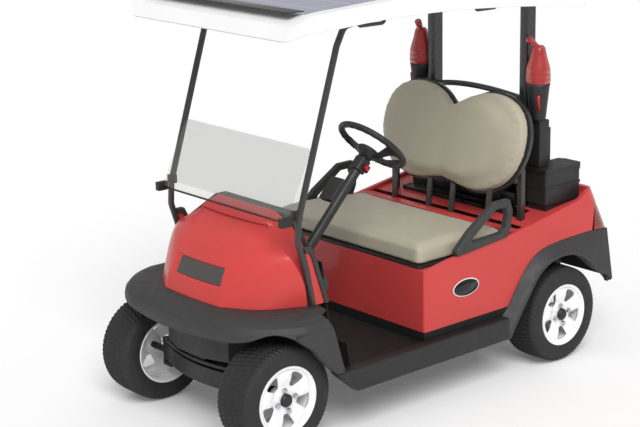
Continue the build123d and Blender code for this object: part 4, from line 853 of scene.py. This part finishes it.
def stuffed(name, node, shape, cap):
    """A pad made from a node's mesh by remeshing, shaping, swelling and one subdivision."""
    mesh = cad_points(node)
    obj = bpy.data.objects.new(name, mesh)
    bpy.context.scene.collection.objects.link(obj)
    remesh = obj.modifiers.new("even", "REMESH")
    remesh.mode = "VOXEL"
    remesh.voxel_size = voxel_size
    swap_mesh(obj, applied(obj))
    start = shape(read_points(obj.data))
    write_points(obj.data, start)
    cloth = obj.modifiers.new("swell", "CLOTH")
    cloth.settings.use_pressure = True
    cloth.settings.uniform_pressure_force = air_pressure
    cloth.settings.effector_weights.gravity = 0
    cloth.point_cache.frame_end = swell_frames
    for frame_number in range(1, swell_frames + 1):
        bpy.context.scene.frame_set(frame_number)
    swollen = read_points(applied(obj))
    obj.modifiers.clear()
    bpy.context.scene.frame_set(1)
    way = swollen - start
    size = np.linalg.norm(way, axis=1)[:, None] + 1e-9
    write_points(obj.data, start + way * np.minimum(1, cap / size))
    smooth = obj.modifiers.new("even_out", "SMOOTH")
    smooth.factor = 0.5
    smooth.iterations = 6
    finer = obj.modifiers.new("finer", "SUBSURF")
    finer.levels = finer.render_levels = 1
    swap_mesh(obj, applied(obj))
    obj.data.materials.clear()
    obj.data.materials.append(seat_vinyl)
    obj.data.polygons.foreach_set("use_smooth", np.full(len(obj.data.polygons), True))
    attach(obj, "chassis")
    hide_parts(node)
    print(name, len(obj.data.polygons), "faces")


cushion_low, cushion_high = 0.6526, 0.7426
cushion_front, cushion_back, cushion_reach = -0.157, 0.385, 0.419


def cushion_shape(points):
    """Reaches the block back, slopes its top down to the rear and rounds its top edges."""
    x, y, z = points.T
    u = x / 0.516
    v = (y - (cushion_front + cushion_back) / 2) / 0.271
    rise = np.clip((z - cushion_low) / (cushion_high - cushion_low), 0, 1)
    near_side = np.maximum(ramp(np.abs(u), 0.90, 1.0), ramp(np.abs(v), 0.80, 1.0))
    drop = 0.026 * ramp(y, 0.02, cushion_back) + 0.014 * near_side**2 + 0.004
    z = cushion_low + 0.003 + (z - cushion_low) * (1 - (drop + 0.003) / (cushion_high - cushion_low))
    draw = 1 - 0.012 * (1 + rise * 0.8)
    length = (cushion_reach - cushion_front) / (cushion_back - cushion_front)
    y = cushion_front + 0.006 + 0.004 * rise + (y - cushion_front) * (length - 0.02)
    return np.stack([x * draw, y, z], 1)


def back_shape(points):
    """Widens the seat back, which the air draws in, rolls its front edge and creases it."""
    tilt = np.array([0.0, -1.0, 0.25]) / math.hypot(1, 0.25)
    up = np.array([0.0, 0.25, 1.0]) / math.hypot(1, 0.25)
    origin = np.array([0.0, 0.519, 0.822])
    local = points - origin
    out, high = local @ tilt, local @ up
    middle = 0.245
    u, v = local[:, 0] / 0.479, (high - middle) / 0.243
    ring = np.sqrt(u**2 + v**2)
    roll = ramp(ring, 0.62, 1.02)
    front = ramp(out, 0.0, 0.072)
    crease = 0.006 * np.exp(-((local[:, 0] / 0.05) ** 2)) * front
    out = 0.002 + out * 0.93 - front * 0.024 * roll**2 - crease
    draw = 1.026 - 0.012 * front * roll
    side = local[:, 0] * draw
    high = middle + (high - middle) * draw
    return origin + side[:, None] * [1, 0, 0] + high[:, None] * up + out[:, None] * tilt


stuffed("seat_pad", "seat_cushion", cushion_shape, 0.010)
stuffed("seat_back_pad", "seat_back", back_shape, 0.012)

# %% [markdown]
# ## Small fittings
# The side badges and all plates are blank. Clips hold the windscreen's panes, a thin rail
# stiffens the front pane's lower edge, and a red key knob sits on the column.

# %% Small shapes
def ellipse_plate(centre, half_y, half_z, low, high, side, count=64):
    """A flat oval plate facing sideways, from one distance out to another."""
    turn = np.linspace(0, 2 * np.pi, count, endpoint=False)
    ring = np.stack([np.cos(turn) * half_y, np.sin(turn) * half_z], 1)
    # share of the oval's size, distance out
    layers = [(0.0, low), (1.0, low), (1.0, high - 0.0003), (0.995, high), (0.0, high)]
    rows = []
    for share, out in layers:
        x = np.full(count, centre[0] + side * out)
        rows.append(np.stack([x, centre[1] + ring[:, 0] * share, centre[2] + ring[:, 1] * share], 1))
    return np.stack(rows), grid_faces(len(layers), count, False, True, flip=side > 0)


def rounded_box(low, high, bevel):
    """A block with rounded edges: the eighths of a ball, moved apart to the block's corners."""
    around, upward = 32, 17
    turn = np.linspace(0, 2 * np.pi, around + 1)[:-1] + math.pi / around
    rise = np.linspace(-math.pi / 2, math.pi / 2, upward)
    turn, rise = np.meshgrid(turn, rise)
    ball = np.stack([np.cos(rise) * np.cos(turn), np.cos(rise) * np.sin(turn), np.sin(rise)], 2)
    low, high = np.asarray(low, float), np.asarray(high, float)
    core = (high - low) / 2 - bevel
    points = (low + high) / 2 + np.sign(np.round(ball, 6)) * core + ball * bevel
    return points, grid_faces(upward, around, False, True)


def block(one, two, bevel):
    """A rounded block given by any two opposite corners."""
    return rounded_box(np.minimum(one, two), np.maximum(one, two), bevel)


def rod(start, end, radius, count=12):
    """A round bar between two places."""
    start, end = np.asarray(start, float), np.asarray(end, float)
    long = np.linalg.norm(end - start)
    return turned([(0, 0), (0, radius), (long, radius), (long, 0)], start, end - start, count)


badge_place, badge_half = (0.5502, 0.106, 0.509), (0.084, 0.042)
ring_high, face_high = 0.0012, 0.0018
for name, side in (("left", 1), ("right", -1)):
    centre = (side * badge_place[0], *badge_place[1:])
    ring = ellipse_plate(centre, *badge_half, 0.0, ring_high, side)
    make_piece("badge_ring_" + name, [ring], badge_white, "chassis")
    face_half = (badge_half[0] - 0.006, badge_half[1] - 0.005)
    face = ellipse_plate(centre, *face_half, ring_high, face_high, side)
    make_piece("badge_face_" + name, [face], badge_black, "chassis")

pane_foot = (-0.8425, 0.972)
rail = [rod((-0.436, *pane_foot), (0.436, *pane_foot), 0.0045)]
make_piece("pane_foot_rail", rail, black_plastic, "chassis")
clips = []
for side in (1, -1):
    clips.append(block((side * 0.425, -0.872, 0.955), (side * 0.452, -0.818, 0.995), 0.004))
    clips.append(block((side * 0.430, -0.80, 0.975), (side * 0.462, -0.765, 1.015), 0.004))
make_piece("pane_clips", clips, black_plastic, "chassis")

# %% Sand bottles
bottle_x, bottle_y = 0.402, 0.736
cup_profile = [
    # height, radius
    (1.172, 0.0), (1.172, 0.036), (1.190, 0.040), (1.335, 0.055), (1.350, 0.058), (1.351, 0.054),
    (1.345, 0.0),
]
bottle_profile = [
    # height, radius
    (1.330, 0.050), (1.356, 0.0565), (1.362, 0.0595), (1.374, 0.0595), (1.378, 0.0570), (1.384, 0.0590),
    (1.396, 0.0590), (1.400, 0.0565), (1.406, 0.0580), (1.418, 0.0575), (1.440, 0.0520), (1.478, 0.0405),
    (1.505, 0.0345), (1.520, 0.0310), (1.530, 0.0230), (1.534, 0.0),
]
upright = (0, 0, 1)
for name, side in (("left", 1), ("right", -1)):
    foot = np.array([side * bottle_x, bottle_y, 0.0])
    neck = rod(foot + [0, 0, 1.512], foot + [-side * 0.020, -0.036, 1.556], 0.0150, 20)
    tip = rod(foot + [-side * 0.016, -0.029, 1.547], foot + [-side * 0.026, -0.047, 1.569], 0.0172, 20)
    bottle = [turned(bottle_profile, foot, upright, 48), neck, tip]
    stands = ["sand_bottles"] if side > 0 else []
    make_piece("sand_bottle_" + name, bottle, bottle_red, "chassis", stands)
    holder = [turned(cup_profile, foot, upright, 48)]
    holder.append(block((side * 0.341, 0.722, 1.20), (side * 0.362, 0.750, 1.30), 0.003))
    holder.append(block((side * 0.3405, 0.716, 0.945), (side * 0.436, 0.784, 1.1735), 0.005))
    make_piece("bottle_cup_" + name, holder, black_plastic, "chassis")
    toward = np.array([side * 0.716, -0.698, 0.0])
    slit_low, slit_high = foot + toward * 0.0425 + [0, 0, 1.226], foot + toward * 0.0500 + [0, 0, 1.300]
    slit = [rod(slit_low, slit_high, 0.0075)]
    make_piece("cup_slit_" + name, slit, signal_red, "chassis")

# %% Deck tray and seat ledge
tray = [rounded_box((-0.40, 0.600, 0.712), (0.40, 0.690, 0.7335), 0.002)]
tray.append(rounded_box((-0.42, 0.690, 0.715), (0.30, 0.704, 0.800), 0.003))
make_piece("deck_tray", tray, badge_black, "chassis")
ledge = [rounded_box((-0.522, 0.4205, 0.699), (0.522, 0.478, 0.7055), 0.002)]
make_piece("seat_ledge", ledge, panel_red, "chassis")

# %% Painted shade in the gap in front of the solar panel
panel_low, panel_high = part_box("solar_panel")
gap_inset, gap_length = 0.004, 0.085
gap_low = (panel_low[0] + gap_inset, panel_low[1] - gap_length, panel_high[2] - 0.006)
gap_high = (panel_high[0] - gap_inset, panel_low[1] - 0.001, panel_high[2] - 0.002)
# This thin black block is painted shade: it stands in for the shadow down in the gap in front of the panel.
gap_shade = [rounded_box(gap_low, gap_high, 0.0015)]
make_piece("panel_gap_shade", gap_shade, badge_black, "chassis")

# %% Key knob
knob_profile = [
    # distance out, radius
    (0, 0), (0, 0.008), (0.022, 0.008), (0.024, 0.013), (0.034, 0.013), (0.036, 0.011), (0.036, 0)
]
down_column, knob_start = 0.118, 0.018
knob_place = wheel_centre - wheel_axis * down_column + np.array([knob_start, 0.0, 0.0])
knob = [turned(knob_profile, knob_place, (1, 0.3, 0), 24)]
make_piece("key_knob", knob, signal_red, "chassis")
